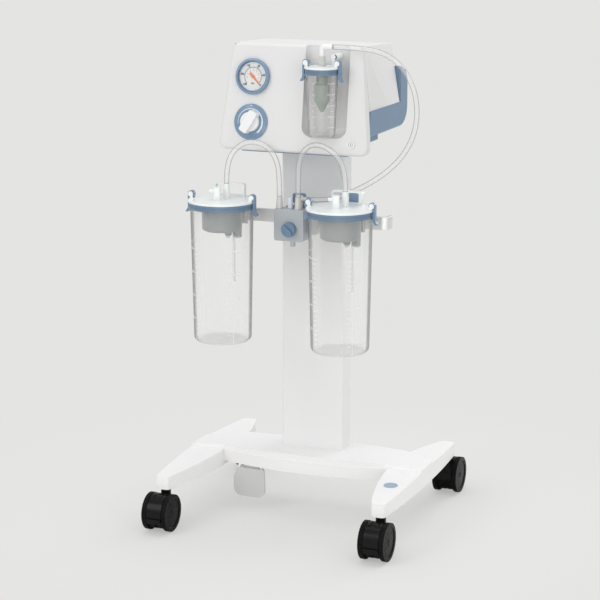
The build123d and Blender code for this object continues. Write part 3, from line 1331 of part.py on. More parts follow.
def float_insert(lid, label):
    """Float valve under a large lid: closed cup with a nozzle, a lug and the long drop tube."""
    with BuildPart() as insert:
        with BuildSketch(Plane.XY.offset(lid.under)):
            with Locations((lid.x, lid.y)):
                Circle(INSERT_RADIUS)
        extrude(amount=INSERT_BOTTOM - lid.under)
        fillet(insert.faces().sort_by(Axis.Z)[0].edges(), INSERT_CORNER)
        with BuildSketch(Plane.XY.offset(lid.under)):
            with Locations((lid.x, lid.y)):
                Circle(INSERT_RADIUS - INSERT_WALL)
        extrude(amount=INSERT_BOTTOM + INSERT_FLOOR - lid.under, mode=Mode.SUBTRACT)
        with Locations((lid.x + INSERT_NOZZLE_X, lid.y, INSERT_BOTTOM + 1)):
            Cylinder(INSERT_NOZZLE_R, INSERT_NOZZLE_H, align=(Align.CENTER, Align.CENTER, Align.MAX))
            with Locations((0, 0, -INSERT_NOZZLE_H)):
                Cone(DROP_TUBE_DIA / 2, INSERT_NOZZLE_R, INSERT_NOZZLE_H,
                     align=(Align.CENTER, Align.CENTER, Align.MAX))
        with BuildSketch(Plane.XY.offset(INSERT_BOTTOM + 7)):
            with Locations((lid.x + INSERT_RADIUS - 7, lid.y + INSERT_LUG_D / 4)):
                RectangleRounded(INSERT_LUG_W, INSERT_LUG_D, INSERT_LUG_D / 4)
        extrude(amount=-INSERT_LUG_H)
        with Locations((lid.x + INSERT_RADIUS - INSERT_NOZZLE_X, lid.y - 2, INSERT_BOTTOM + INSERT_WALL)):
            Cylinder(DROP_TUBE_DIA / 2, INSERT_BOTTOM + INSERT_WALL - DROP_TUBE_BOTTOM,
                     align=(Align.CENTER, Align.CENTER, Align.MAX))
    return finish(insert, label)


def jar_holder(lid, label):
    """Grey holder hooked over the rail, with the pocket that takes the ring's nose."""
    rail_top = RAIL_Z + RAIL_H / 2
    with BuildPart() as holder:
        with BuildSketch(Plane.YZ.offset(lid.x - HOLDER_W / 2)) as section:
            with BuildLine():
                Polyline((HOLDER_FRONT_Y, HOLDER_LOW), (RAIL_FRONT_Y, HOLDER_LOW), (RAIL_FRONT_Y, rail_top),
                         (RAIL_FRONT_Y + RAIL_T + SEAT_GAP, rail_top),
                         (RAIL_FRONT_Y + RAIL_T + SEAT_GAP, RAIL_Z - 4), (HOOK_BACK_Y, RAIL_Z - 4),
                         (HOOK_BACK_Y, HOLDER_TOP), (HOLDER_FRONT_Y, HOLDER_TOP), close=True)
            make_face()
            fillet(section.vertices().sort_by_distance((HOOK_BACK_Y, HOLDER_TOP, 0))[0], 3)
            fillet(section.vertices().sort_by_distance((HOLDER_FRONT_Y, HOLDER_LOW, 0))[0], 6)
        extrude(amount=HOLDER_W)
        with Locations((lid.x, HOLDER_FRONT_Y, NOSE_LOW - SEAT_GAP)):
            Box(TONGUE_W - 4 + 2 * SEAT_GAP, 2 * (NOSE_BACK_Y + SEAT_GAP - HOLDER_FRONT_Y),
                NOSE_H + 2 * SEAT_GAP, align=(Align.CENTER, Align.CENTER, Align.MIN), mode=Mode.SUBTRACT)
    return finish(holder, label)


for side_name, side, lid in (("left", -1, LEFT), ("right", 1, RIGHT)):
    jar(lid, JAR_BOTTOM, JAR_RADIUS, JAR_FOOT_RADIUS, JAR_WALL, f"jar_{side_name}")
    seal_ring(lid, f"jar_ring_{side_name}", True)
    big_lid(lid, f"jar_lid_{side_name}")
    float_insert(lid, f"jar_float_valve_{side_name}")
    jar_holder(lid, f"jar_holder_{side_name}")
    clip(lid, -1, f"jar_clip_{side_name}_a")
    clip(lid, 1, f"jar_clip_{side_name}_b")


SPIGOT_TOP = 942.0
SPIGOT_FOOT_R = 8.0
SPIGOT_TOP_R = 6.8
LID_SOFT = 1.2
ELBOW_DIA = 10.6
ELBOW_BEND = 6.0
ELBOW_COLLAR = 0.8
ELBOW_COLLAR_W = 3.0
ELBOW_HOLD = 10.0
PORT_FOOT_D = 14.0
PORT_FOOT = 8.0
PLUG_GAP = 0.8
PLUG_LENGTH = 30.5


def safety_lid():
    """Lid of the safety jar: plate, tapered spigot for the elbow, and the plug for the pump's port."""
    lid = SAFETY
    with BuildPart() as cap:
        with BuildSketch(Plane.XY.offset(lid.under)):
            with Locations((lid.x, lid.y)):
                Circle(lid.radius)
        extrude(amount=lid.top - lid.under)
        fillet(cap.faces().sort_by(Axis.Z)[-1].edges(), 1.2)
        with Locations((lid.x, lid.y, lid.top - 1)):
            Cone(SPIGOT_FOOT_R, SPIGOT_TOP_R, SPIGOT_TOP - lid.top + 1,
                 align=(Align.CENTER, Align.CENTER, Align.MIN))
        with Locations((PORT_X, NICHE_BACK_Y - PLUG_GAP - PLUG_LENGTH, PORT_Z)):
            Cylinder(PORT_DIA / 2, PLUG_LENGTH, rotation=(-90, 0, 0),
                     align=(Align.CENTER, Align.CENTER, Align.MIN))
        with Locations((PORT_X, NICHE_BACK_Y - PLUG_GAP - PLUG_LENGTH, lid.top - 1)):
            Box(PORT_FOOT, PORT_FOOT_D, PORT_Z - lid.top, align=(Align.CENTER, Align.MIN, Align.MIN))
        add(clip_ears(lid))
    return finish(cap, "safety_lid")


def vacuum_elbow():
    """White elbow on the spigot, turned towards +X for the hose."""
    with BuildPart() as elbow:
        with BuildLine() as route:
            FilletPolyline((CUP_X, CUP_Y, SPIGOT_TOP), (CUP_X, CUP_Y, ELBOW_Z),
                           (ELBOW_MOUTH_X, CUP_Y, ELBOW_Z), radius=ELBOW_BEND)
        with BuildSketch(Plane(origin=route.line @ 0, z_dir=route.line % 0)):
            Circle(ELBOW_DIA / 2)
        sweep(path=route.line)
        with Locations((ELBOW_MOUTH_X - ELBOW_HOLD, CUP_Y, ELBOW_Z)):
            Cylinder(ELBOW_DIA / 2 + ELBOW_COLLAR, ELBOW_COLLAR_W, rotation=(0, 90, 0))
    return finish(elbow, "vacuum_elbow")


CAGE_NECK_R = 10.5
CAGE_R = 14.0
CAGE_TIP_R = 3.0
CAGE_NECK_LOW = 890.0
CAGE_BARREL_LOW = 857.0
CAGE_TIP_Z = 836.0
CAGE_SLOT_DEPTH = 5.0
CAGE_SLOT_W = 6.0
CAGE_SLOT_MARGIN = 4.0


def float_cage():
    """Float cage under the safety lid: a slotted neck, a wider barrel and a cone."""
    lid = SAFETY
    with BuildPart() as cage:
        with BuildSketch(Plane.XZ) as profile:
            with BuildLine():
                Polyline((0, lid.under), (CAGE_NECK_R, lid.under), (CAGE_NECK_R, CAGE_NECK_LOW),
                         (CAGE_R, CAGE_NECK_LOW - 2), (CAGE_R, CAGE_BARREL_LOW), (CAGE_TIP_R, CAGE_TIP_Z),
                         (0, CAGE_TIP_Z), close=True)
            make_face()
        revolve(axis=Axis.Z)
    cage.part = cage.part.moved(Location((lid.x, lid.y, 0)))
    with BuildPart() as slotted:
        add(cage.part)
        with Locations((lid.x, lid.y, (lid.under + CAGE_NECK_LOW) / 2)):
            with PolarLocations(CAGE_NECK_R, 4, start_angle=45):
                Box(CAGE_SLOT_DEPTH, CAGE_SLOT_W, lid.under - CAGE_NECK_LOW - 2 * CAGE_SLOT_MARGIN,
                    mode=Mode.SUBTRACT)
    return finish(slotted, "safety_float_cage")


jar(SAFETY, HOUSING_BOTTOM + SEAT_GAP, CUP_RADIUS, CUP_FOOT_RADIUS, CUP_WALL, "safety_jar")
seal_ring(SAFETY, "safety_ring", False)
safety_lid()
vacuum_elbow()
float_cage()
clip(SAFETY, -1, "safety_clip_a")
clip(SAFETY, 1, "safety_clip_b")


# Changeover valve block, clamped over the rail between the two jars.
BLOCK_NECK_HALF = 22.0
CLAMP_HALF = 22.0
CLAMP_TOP = BLOCK_TOP - 1.0
CLAMP_BACK_Y = -50.0
CLAMP_LIP_LOW = RAIL_Z - 2.0
WING_IN = 33.0
WING_OUT = 49.0
WING_BACK_Y = -72.5
WING_T = 9.0
WING_BOTTOM = 592.0
WING_ROUND = 7.0
NOZZLE_X = 5.0
NOZZLE_DIA = 10.0
PIN_X = -2.0
PIN_DIA = 10.0
PIN_TOP = 667.0
SPINDLE_DIA = 7.0
KNOB_BODY = 9.0
LATCH_HALF = 13.0
LATCH_T = 3.5
LATCH_PIN_DIA = 4.0
LATCH_PIN_Z = 652.0
LATCH_Y = -55.0
LATCH_TOP = 668.0


def valve_block():
    """Block with two hose ports, the centre pin, the bottom nozzle and the vacuum inlet behind."""
    with BuildPart() as block:
        with BuildSketch(front_plane(BLOCK_BACK_Y)) as face:
            with Locations((0, (BLOCK_BOTTOM + BLOCK_TOP) / 2)):
                Rectangle(2 * BLOCK_HALF, BLOCK_TOP - BLOCK_BOTTOM)
            fillet(face.vertices().group_by(Axis.Y)[0], 5)
            fillet(face.vertices().group_by(Axis.Y)[-1], 1.5)
        extrude(amount=BLOCK_BACK_Y - BLOCK_FRONT_Y)
        fillet(block.faces().sort_by(Axis.Y)[0].edges(), 1.2)
        with Locations((0, BLOCK_BACK_Y - 1, BLOCK_TOP - 2.5)):
            Box(2 * BLOCK_NECK_HALF, RAIL_FRONT_Y - BLOCK_BACK_Y + 1, BLOCK_TOP - BLOCK_BOTTOM - 16,
                align=(Align.CENTER, Align.MIN, Align.MAX))
        for port_x in (PORT_LEFT_X, PORT_RIGHT_X):
            with Locations((port_x, PORT_Y, BLOCK_TOP - 1)):
                Cone(7, 5.5, PORT_TOP - BLOCK_TOP + 1, align=(Align.CENTER, Align.CENTER, Align.MIN))
        with Locations((PIN_X, PORT_Y + 4, BLOCK_TOP - 1)):
            Cylinder(PIN_DIA / 2, PIN_TOP - BLOCK_TOP + 1, align=(Align.CENTER, Align.CENTER, Align.MIN))
        with Locations((NOZZLE_X, PORT_Y, BLOCK_BOTTOM + 1)):
            Cylinder(NOZZLE_DIA / 2, 12, align=(Align.CENTER, Align.CENTER, Align.MAX))
            Cylinder(NOZZLE_DIA / 2 - 2, 14, align=(Align.CENTER, Align.CENTER, Align.MAX),
                     mode=Mode.SUBTRACT)
        with BuildLine() as inlet:
            FilletPolyline((INLET_X, INLET_Y, BLOCK_TOP - 4), (INLET_X, INLET_Y, INLET_Z),
                           (INLET_MOUTH_X, INLET_Y, INLET_Z), radius=6)
        with BuildSketch(Plane(origin=inlet.line @ 0, z_dir=inlet.line % 0)):
            Circle(4.5)
        sweep(path=inlet.line)
        with BuildSketch(front_plane(BLOCK_FRONT_Y)):
            with Locations((VALVE_X, VALVE_Z)):
                Circle(SPINDLE_DIA / 2 + RUN_CLEAR)
        extrude(amount=-18, mode=Mode.SUBTRACT)
    return finish(block, "valve_block")


def changeover_knob():
    """Round blue knob with a diagonal grip and the spindle into the block."""
    plane = front_plane(BLOCK_FRONT_Y - SEAT_GAP)
    with BuildPart() as knob:
        with BuildSketch(plane):
            with Locations((VALVE_X, VALVE_Z)):
                Circle(VALVE_KNOB_DIA / 2)
        extrude(amount=KNOB_BODY, taper=5)
        fillet(knob.faces().sort_by(Axis.Y)[0].edges(), 1.5)
        with BuildSketch(plane.offset(KNOB_BODY - 0.5)):
            with Locations((VALVE_X, VALVE_Z)):
                SlotOverall(VALVE_KNOB_DIA - 5, 8, rotation=-40)
        extrude(amount=6, taper=8)
        with BuildSketch(plane):
            with Locations((VALVE_X, VALVE_Z)):
                Circle(SPINDLE_DIA / 2)
        extrude(amount=-16)
    return finish(knob, "changeover_knob")


def block_clamp():
    """Hook over the rail behind the block, with two ears for the latch."""
    rail_top = RAIL_Z + RAIL_H / 2
    with BuildPart() as clamp:
        with BuildSketch(Plane.YZ.offset(-CLAMP_HALF)):
            with BuildLine():
                Polyline((RAIL_FRONT_Y, rail_top), (RAIL_FRONT_Y + RAIL_T + SEAT_GAP, rail_top),
                         (RAIL_FRONT_Y + RAIL_T + SEAT_GAP, CLAMP_LIP_LOW), (CLAMP_BACK_Y, CLAMP_LIP_LOW),
                         (CLAMP_BACK_Y, CLAMP_TOP), (RAIL_FRONT_Y, CLAMP_TOP), close=True)
            make_face()
        extrude(amount=2 * CLAMP_HALF)
        for ear_x in (-LATCH_HALF + LATCH_T + 0.4, LATCH_HALF - LATCH_T - 0.4 - 4):
            with BuildSketch(Plane.YZ.offset(ear_x)):
                with Locations((LATCH_Y, LATCH_PIN_Z)):
                    Circle(4)
                with Locations((LATCH_Y, (CLAMP_TOP - 1 + LATCH_PIN_Z) / 2)):
                    Rectangle(8, LATCH_PIN_Z - CLAMP_TOP + 1)
                with Locations((LATCH_Y, LATCH_PIN_Z)):
                    Circle(LATCH_PIN_DIA / 2 + RUN_CLEAR, mode=Mode.SUBTRACT)
            extrude(amount=4)
        arm_low = rail_top + SEAT_GAP
        arm_end = WING_OUT - WING_ROUND
        with Locations((CLAMP_HALF - 1, RAIL_FRONT_Y + SEAT_GAP, arm_low)):
            Box(arm_end - CLAMP_HALF + 1, RAIL_T - SEAT_GAP, CLAMP_TOP - arm_low,
                align=(Align.MIN, Align.MIN, Align.MIN))
        with Locations((WING_IN + 2, WING_BACK_Y - 1, arm_low)):
            Box(arm_end - WING_IN - 2, RAIL_FRONT_Y + RAIL_T - WING_BACK_Y + 1, CLAMP_TOP - arm_low,
                align=(Align.MIN, Align.MIN, Align.MIN))
        with BuildSketch(front_plane(WING_BACK_Y)) as wing:
            with Locations(((WING_IN + WING_OUT) / 2, (WING_BOTTOM + CLAMP_TOP) / 2)):
                Rectangle(WING_OUT - WING_IN, CLAMP_TOP - WING_BOTTOM)
            fillet(wing.vertices(), WING_ROUND)
        extrude(amount=WING_T)
        fillet(clamp.faces().filter_by(Axis.Y).sort_by(Axis.Y)[0].edges(), 1.5)
    return finish(clamp, "block_clamp")


def block_latch():
    """Blue bail latch: a top bar, two side arms and the pin through the clamp's ears."""
    with BuildPart() as latch:
        with BuildSketch(front_plane(LATCH_Y + 4)) as outline:
            with Locations((0, (LATCH_PIN_Z - 3 + LATCH_TOP) / 2)):
                Rectangle(2 * LATCH_HALF, LATCH_TOP - LATCH_PIN_Z + 3)
            fillet(outline.vertices().group_by(Axis.Y)[-1], 4)
            with Locations((0, (LATCH_PIN_Z - 4 + LATCH_TOP - LATCH_T) / 2)):
                Rectangle(2 * (LATCH_HALF - LATCH_T), LATCH_TOP - LATCH_T - LATCH_PIN_Z + 4,
                          mode=Mode.SUBTRACT)
        extrude(amount=8)
        with Locations((0, LATCH_Y, LATCH_PIN_Z)):
            Cylinder(LATCH_PIN_DIA / 2, 2 * LATCH_HALF - 1, rotation=(0, 90, 0))
    return finish(latch, "block_latch")


valve_block()
changeover_knob()
block_clamp()
block_latch()


# Hoses. Each meets its fittings face to face.
VACUUM_ROUTE = [
    (84, -94, 960), (134, -94, 960), (182, -88, 954), (219, -76, 926), (239, -63, 880), (242, -55, 828),
    (229, -52, 779), (199, -54, 736), (157, -62, 702), (112, -71, 678), (70, -78, 661), (26, -78, 661)]
LEFT_ROUTE = [
    (-23, -101.5, 668), (-23, -101.5, 702), (-25, -107, 738), (-42, -113, 766), (-72, -121, 777),
    (-101, -130, 765), (-118, -140, 732), (-118, -140, 693)]
RIGHT_ROUTE = [
    (16, -101.5, 668), (16, -101.5, 704), (20, -107, 743), (38, -114, 770), (68, -122, 778),
    (103, -131, 764), (128, -140, 735), (128, -140, 693)]
hose(VACUUM_ROUTE, "vacuum_hose")
hose(LEFT_ROUTE, "suction_hose_left")
hose(RIGHT_ROUTE, "suction_hose_right")
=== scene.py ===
"""Mobile suction unit: finishes, clear tubing, printing and small trim on the construction model."""
import json
import math

import bmesh
import bpy
from mathutils import Matrix, Vector
from mathutils.bvhtree import BVHTree

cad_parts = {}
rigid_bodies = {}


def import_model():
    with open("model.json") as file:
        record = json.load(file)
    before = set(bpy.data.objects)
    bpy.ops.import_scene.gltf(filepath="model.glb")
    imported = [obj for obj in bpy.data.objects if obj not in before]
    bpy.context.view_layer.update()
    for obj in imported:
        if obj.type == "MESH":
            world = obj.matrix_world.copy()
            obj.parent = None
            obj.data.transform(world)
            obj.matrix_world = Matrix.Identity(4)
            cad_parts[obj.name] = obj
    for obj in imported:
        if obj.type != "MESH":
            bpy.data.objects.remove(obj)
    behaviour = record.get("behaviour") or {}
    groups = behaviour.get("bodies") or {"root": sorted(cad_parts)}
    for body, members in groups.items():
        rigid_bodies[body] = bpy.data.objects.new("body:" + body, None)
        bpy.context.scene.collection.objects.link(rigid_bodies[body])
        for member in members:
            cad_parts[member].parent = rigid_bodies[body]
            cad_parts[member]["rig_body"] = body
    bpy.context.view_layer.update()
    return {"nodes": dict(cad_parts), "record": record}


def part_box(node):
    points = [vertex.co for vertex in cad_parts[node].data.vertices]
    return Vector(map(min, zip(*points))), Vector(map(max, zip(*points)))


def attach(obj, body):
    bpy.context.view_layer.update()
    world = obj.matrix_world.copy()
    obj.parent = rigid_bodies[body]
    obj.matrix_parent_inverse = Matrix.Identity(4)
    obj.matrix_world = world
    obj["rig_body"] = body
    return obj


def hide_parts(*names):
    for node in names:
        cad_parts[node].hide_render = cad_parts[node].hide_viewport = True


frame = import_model()
NODES = frame["nodes"]

bl_info = {
    "name": "Mobile suction unit",
    "version": (1, 0, 0),
    "blender": (4, 5, 0),
    "location": "3D View > Sidebar > Suction unit",
    "description": "Dresses the construction model of a mobile suction unit for a render",
    "category": "Object",
}

# Where the printed and added pieces sit, in millimetres, from the construction model
FACE_BOTTOM = (-96.0, 753.0)
FACE_TOP = (-66.0, 959.0)
LEAN = math.atan2(FACE_TOP[0] - FACE_BOTTOM[0], FACE_TOP[1] - FACE_BOTTOM[1])
GAUGE_AT = (-88.0, 895.0)
DIAL_AT = (-88.0, 808.0)
BUTTON_AT = (121.0, 775.0)
GAUGE_REST = -46.0
GAUGE_SWEEP = 270.0
BADGE_AT = (217.0, -117.0, 125.0)
GRIP_INLAY_AT = (36.5, -81.5, 614.0)
TAB_AT = (123.0, -78.5, 660.3)
LIP_AT = (0.0, -80.0, 753.2)
# Painted shade: a dark crescent in the gap beside the port plug, and dark hexagons in the screw sockets
PORT_GAP_SHADE_AT = (84.0, -87.25, 940.0)
SCREWS_AT = (0.0, 8.0, 608.0)
SCREW_HALF_WIDTH = 33.0
SCREW_HALF_RISE = 8.0

# Thickness of the printing and its lift off the surface, in metres
MARK_INK = 0.00005
FIGURE_INK = 0.00004
SPOT_INK = 0.00006
FACE_LIFT = 0.00006
JAR_LIFT = 0.00008

# Stage in metres; a lamp's name, place, size, power in watts and the point it is turned to
CAMERA_AT = (1.438, -3.611, 1.332)
CAMERA_AHEAD = (-0.3652, 0.9038, -0.2233)
CAMERA_LENS = 119.1
LAMPS = (
    ("key_softbox", (-1.9, -2.9, 2.6), (1.6, 2.2), 36.0, (0, 0, 0.6)),
    ("fill_softbox", (3.0, -2.2, 1.2), (1.2, 2.4), 15.0, (0, 0, 0.5)),
    ("top_softbox", (0.2, 0.3, 3.2), (2.4, 2.4), 30.0, (0, 0, 0.5)),
    ("back_softbox", (1.2, 2.9, 1.9), (1.6, 1.8), 20.0, (0, 0, 0.6)),
    ("front_softbox", (0.9, -3.0, 0.35), (2.0, 0.8), 11.0, (0, 0, 0.62)),
)
AMBIENT = 0.655
FLOOR_RADIUS = 30.0
FLOOR_DROP = 0.0005
SHADOW_ENDS = (0.30, 0.95)

VACUUM_ROUTE = [
    (84, -94, 960), (134, -94, 960), (182, -88, 954), (219, -76, 926), (239, -63, 880), (242, -55, 828),
    (229, -52, 779), (199, -54, 736), (157, -62, 702), (112, -71, 678), (70, -78, 661), (26, -78, 661),
]
LEFT_ROUTE = [
    (-23, -101.5, 668), (-23, -101.5, 702), (-25, -107, 738), (-42, -113, 766),
    (-72, -121, 777), (-101, -130, 765), (-118, -140, 732), (-118, -140, 693),
]
RIGHT_ROUTE = [
    (16, -101.5, 668), (16, -101.5, 704), (20, -107, 743), (38, -114, 770),
    (68, -122, 778), (103, -131, 764), (128, -140, 735), (128, -140, 693),
]


class Vessel:
    """A jar's axis, and its outside radius between two heights, in millimetres."""

    def __init__(self, node, x, y, foot, head):
        self.node = node
        self.x, self.y = x, y
        self.foot, self.head = foot, head

    def radius(self, z):
        (low, small), (high, large) = self.foot, self.head
        return small + (z - low) / (high - low) * (large - small)


JARS = [
    Vessel("jar_left", -123.0, -152.0, (384.0, 56.5), (648.0, 61.5)),
    Vessel("jar_right", 123.0, -152.0, (384.0, 56.5), (648.0, 61.5)),
]
SAFETY = Vessel("safety_jar", 62.0, -94.0, (785.3, 25.5), (907.0, 30.5))


class Value:
    """A node socket; arithmetic on it adds Math nodes to its tree."""

    def __init__(self, tree, socket):
        self.tree = tree
        self.socket = socket

    def maths(self, operation, *terms):
        node = self.tree.nodes.new("ShaderNodeMath")
        node.operation = operation
        for place, term in enumerate(terms):
            if isinstance(term, Value):
                self.tree.links.new(term.socket, node.inputs[place])
            else:
                node.inputs[place].default_value = term
        return Value(self.tree, node.outputs[0])

    def __add__(self, other):
        return self.maths("ADD", self, other)

    __radd__ = __add__

    def __sub__(self, other):
        return self.maths("SUBTRACT", self, other)

    def __rsub__(self, other):
        return self.maths("SUBTRACT", other, self)

    def __mul__(self, other):
        return self.maths("MULTIPLY", self, other)

    __rmul__ = __mul__

    def __truediv__(self, other):
        return self.maths("DIVIDE", self, other)

    def __mod__(self, other):
        return self.maths("FLOORED_MODULO", self, other)

    def __gt__(self, other):
        return self.maths("GREATER_THAN", self, other)

    def __lt__(self, other):
        return self.maths("LESS_THAN", self, other)

    def sine(self):
        return self.maths("SINE", self)

    def cosine(self):
        return self.maths("COSINE", self)

    def root(self):
        return self.maths("SQRT", self)

    def larger(self, other):
        return self.maths("MAXIMUM", self, other)

    def ramp(self, low, high):
        """0 below low, 1 above high, smooth between."""
        node = self.tree.nodes.new("ShaderNodeMapRange")
        node.interpolation_type = "SMOOTHSTEP"
        self.tree.links.new(self.socket, node.inputs["Value"])
        node.inputs["From Min"].default_value = low
        node.inputs["From Max"].default_value = high
        return Value(self.tree, node.outputs["Result"])


class Graph:
    """A node tree, and the one way in which nodes other than maths are added to it."""

    def __init__(self, tree):
        self.tree = tree

    def node(self, kind, settings=None, output=0, **sockets):
        """Adds a node: its settings first, then the values or links of its sockets."""
        made = self.tree.nodes.new(kind)
        for name, value in (settings or {}).items():
            setattr(made, name, value)
        for name, value in sockets.items():
            socket = made.inputs[int(name[1:]) if name[0] == "_" else name.replace("_", " ")]
            if isinstance(value, Value):
                self.tree.links.new(value.socket, socket)
            elif isinstance(value, (tuple, list)) and socket.type == "RGBA" and len(value) == 3:
                socket.default_value = (*value, 1)
            else:
                socket.default_value = value
        return Value(self.tree, made.outputs[output])

    def vector(self, x, y, z):
        return self.node("ShaderNodeCombineXYZ", X=x, Y=y, Z=z)

    def parts(self, vector):
        split = self.tree.nodes.new("ShaderNodeSeparateXYZ")
        self.tree.links.new(vector.socket, split.inputs[0])
        return [Value(self.tree, socket) for socket in split.outputs]

    def seen_rays(self):
        """1 where the camera looks, straight or through something clear."""
        path = self.tree.nodes.new("ShaderNodeLightPath")
        straight, through = (Value(self.tree, path.outputs[name])
                             for name in ("Is Camera Ray", "Is Transmission Ray"))
        return straight.larger(through)


class Finish(Graph):
    """One material, built on object coordinates."""

    def __init__(self, name):
        self.material = bpy.data.materials.new(name)
        self.material.use_nodes = True
        super().__init__(self.material.node_tree)
        self.tree.nodes.clear()
        self.output = self.tree.nodes.new("ShaderNodeOutputMaterial")
        self.place = self.node("ShaderNodeTexCoord", output="Object")

    def noise(self, scale, detail, stretch=None):
        place = self.place
        if stretch:
            place = self.node("ShaderNodeMapping", Vector=place, Scale=stretch)
        return self.node("ShaderNodeTexNoise", Vector=place, Scale=scale, Detail=detail)

    def axes(self, centre=(0, 0, 0)):
        """x, y and z of the surface about a centre given in metres."""
        return self.parts(self.node("ShaderNodeMapping", {"vector_type": "TEXTURE"}, Vector=self.place,
                                    Location=centre))

    def mix(self, share, first, second):
        return self.node("ShaderNodeMix", {"data_type": "RGBA"}, output=2, _0=share, _6=first, _7=second)

    def bump(self, height, strength, distance):
        return self.node("ShaderNodeBump", Height=height, Strength=strength, Distance=distance)

    def surface(self, **sockets):
        shader = self.node("ShaderNodeBsdfPrincipled", **sockets)
        self.tree.links.new(shader.socket, self.output.inputs["Surface"])
        return self.material


class Form(Graph):
    """A geometry tree with named inputs for its sizes, baked to a plain mesh."""

    def __init__(self, name, **sizes):
        super().__init__(bpy.data.node_groups.new(name, "GeometryNodeTree"))
        face = self.tree.interface
        face.new_socket("Geometry", in_out="OUTPUT", socket_type="NodeSocketGeometry")
        for label, start in sizes.items():
            kind = "NodeSocketInt" if isinstance(start, int) else "NodeSocketFloat"
            face.new_socket(label, in_out="INPUT", socket_type=kind).default_value = start
        entry = self.tree.nodes.new("NodeGroupInput")
        self.size = {label: Value(self.tree, entry.outputs[label]) for label in sizes}

    def finish(self, geometry):
        """Ends the tree with its instances made real."""
        real = self.node("GeometryNodeRealizeInstances", Geometry=geometry)
        leave = self.tree.nodes.new("NodeGroupOutput")
        self.tree.links.new(real.socket, leave.inputs[0])
        return self

    def mesh(self, name, **sizes):
        """A plain mesh made with these sizes, in the tree's own place."""
        start = bpy.data.meshes.new("start")
        holder = bpy.data.objects.new(name, start)
        bpy.context.collection.objects.link(holder)
        step = holder.modifiers.new("form", "NODES")
        step.node_group = self.tree
        for item in self.tree.interface.items_tree:
            if item.in_out == "INPUT" and item.name in sizes:
                step[item.identifier] = sizes[item.name]
        seen = holder.evaluated_get(bpy.context.evaluated_depsgraph_get())
        made = bpy.data.meshes.new_from_object(seen)
        made.name = name
        bpy.data.objects.remove(holder)
        bpy.data.meshes.remove(start)
        return made


def toned(colour, gain):
    return tuple(min(1.0, part * gain) for part in colour)


def moulded_plastic(name, colour, gloss, grain=1900.0, depth=0.35, coat=0.0, mottle=0.03, shine=0.5):
    """Injection moulded plastic: eroded texture, faint flow mottling, patches polished by handling."""
    finish = Finish(name)
    flow = finish.noise(9.0, 4.0)
    skin = finish.noise(grain, 2.0)
    rubbed = finish.noise(24.0, 5.0).ramp(0.45, 0.75)
    base = finish.mix(flow, toned(colour, 1 - mottle), toned(colour, 1 + mottle))
    return finish.surface(
        Base_Color=base, Roughness=gloss + 0.10 * skin - 0.08 * rubbed, Coat_Weight=coat,
        Specular_IOR_Level=shine, Normal=finish.bump(skin + 0.5 * finish.noise(140.0, 2.0), depth, 0.00006),
    )


def powder_coat(name, colour):
    """Powder coated steel: orange peel, and a little more sheen where it is wiped."""
    finish = Finish(name)
    peel = finish.noise(650.0, 2.0)
    wiped = finish.noise(14.0, 4.0)
    base = finish.mix(finish.noise(5.0, 2.0), toned(colour, 0.992), toned(colour, 1.006))
    return finish.surface(
        Base_Color=base, Roughness=0.40 + 0.08 * wiped, Normal=finish.bump(peel, 0.22, 0.00008),
    )


def brushed_metal(name, colour, along=(3, 160, 160), rough=0.34):
    """Metal with fine scratches along one axis."""
    finish = Finish(name)
    lines = finish.noise(40.0, 4.0, along)
    smudge = finish.noise(18.0, 3.0)
    return finish.surface(
        Base_Color=finish.mix(lines, toned(colour, 0.9), toned(colour, 1.06)), Metallic=1.0,
        Roughness=rough + 0.16 * lines + 0.10 * smudge, Normal=finish.bump(lines, 0.25, 0.00005),
    )


def cast_metal(name, colour):
    """Sand cast alloy with a pebbled skin."""
    finish = Finish(name)
    pebble = finish.noise(420.0, 6.0)
    return finish.surface(
        Base_Color=finish.mix(pebble, toned(colour, 0.75), toned(colour, 1.1)), Metallic=0.9,
        Roughness=0.45 + 0.2 * pebble, Normal=finish.bump(pebble, 0.6, 0.0003),
    )


def circuit_board(name):
    """Green lacquer with a lattice of tracks and pads."""
    finish = Finish(name)
    x, y, _ = finish.axes()
    tracks = ((x * 2600.0).sine() > 0.72).larger((y * 1700.0).sine() > 0.86)
    return finish.surface(
        Base_Color=finish.mix(tracks, (0.02, 0.13, 0.05), (0.05, 0.28, 0.10)),
        Roughness=0.3 + 0.2 * tracks, Normal=finish.bump(tracks, 0.4, 0.00008),
    )


def clear_plastic(name, face, rim, body, edge, turn, rough, level_share=0.3, haze=0.0):
    """Thin clear plastic: pale and see-through face on, with a painted dark reflection where a wall is seen
    edgewise.
    """
    finish = Finish(name)
    cloud = finish.noise(30.0, 3.0)
    slant = finish.node("ShaderNodeLayerWeight", output="Facing", Blend=0.5)
    _, _, upward = finish.parts(finish.node("ShaderNodeNewGeometry", output="Normal"))
    level = (upward * upward).ramp(0.6, 0.9)
    # Painted reflection: the base colour turns to the dark rim colour, and grows opaque, as a wall is seen
    # edgewise; less so on level faces
    edge_shade_share = slant.ramp(*turn) * (1 - (1 - level_share) * level)
    wall = finish.node(
        "ShaderNodeBsdfPrincipled", Roughness=rough + 0.04 * cloud, IOR=1.5, Coat_Weight=0.3,
        Base_Color=finish.mix(edge_shade_share, face, rim),
    )
    clear = finish.node("ShaderNodeBsdfTransparent", Color=(1, 1, 1))
    share = (body + haze * slant.ramp(0.12, 0.42)).larger(edge * edge_shade_share)
    mixed = finish.node("ShaderNodeMixShader", _0=share, _1=clear, _2=wall)
    finish.tree.links.new(mixed.socket, finish.output.inputs["Surface"])
    return finish.material


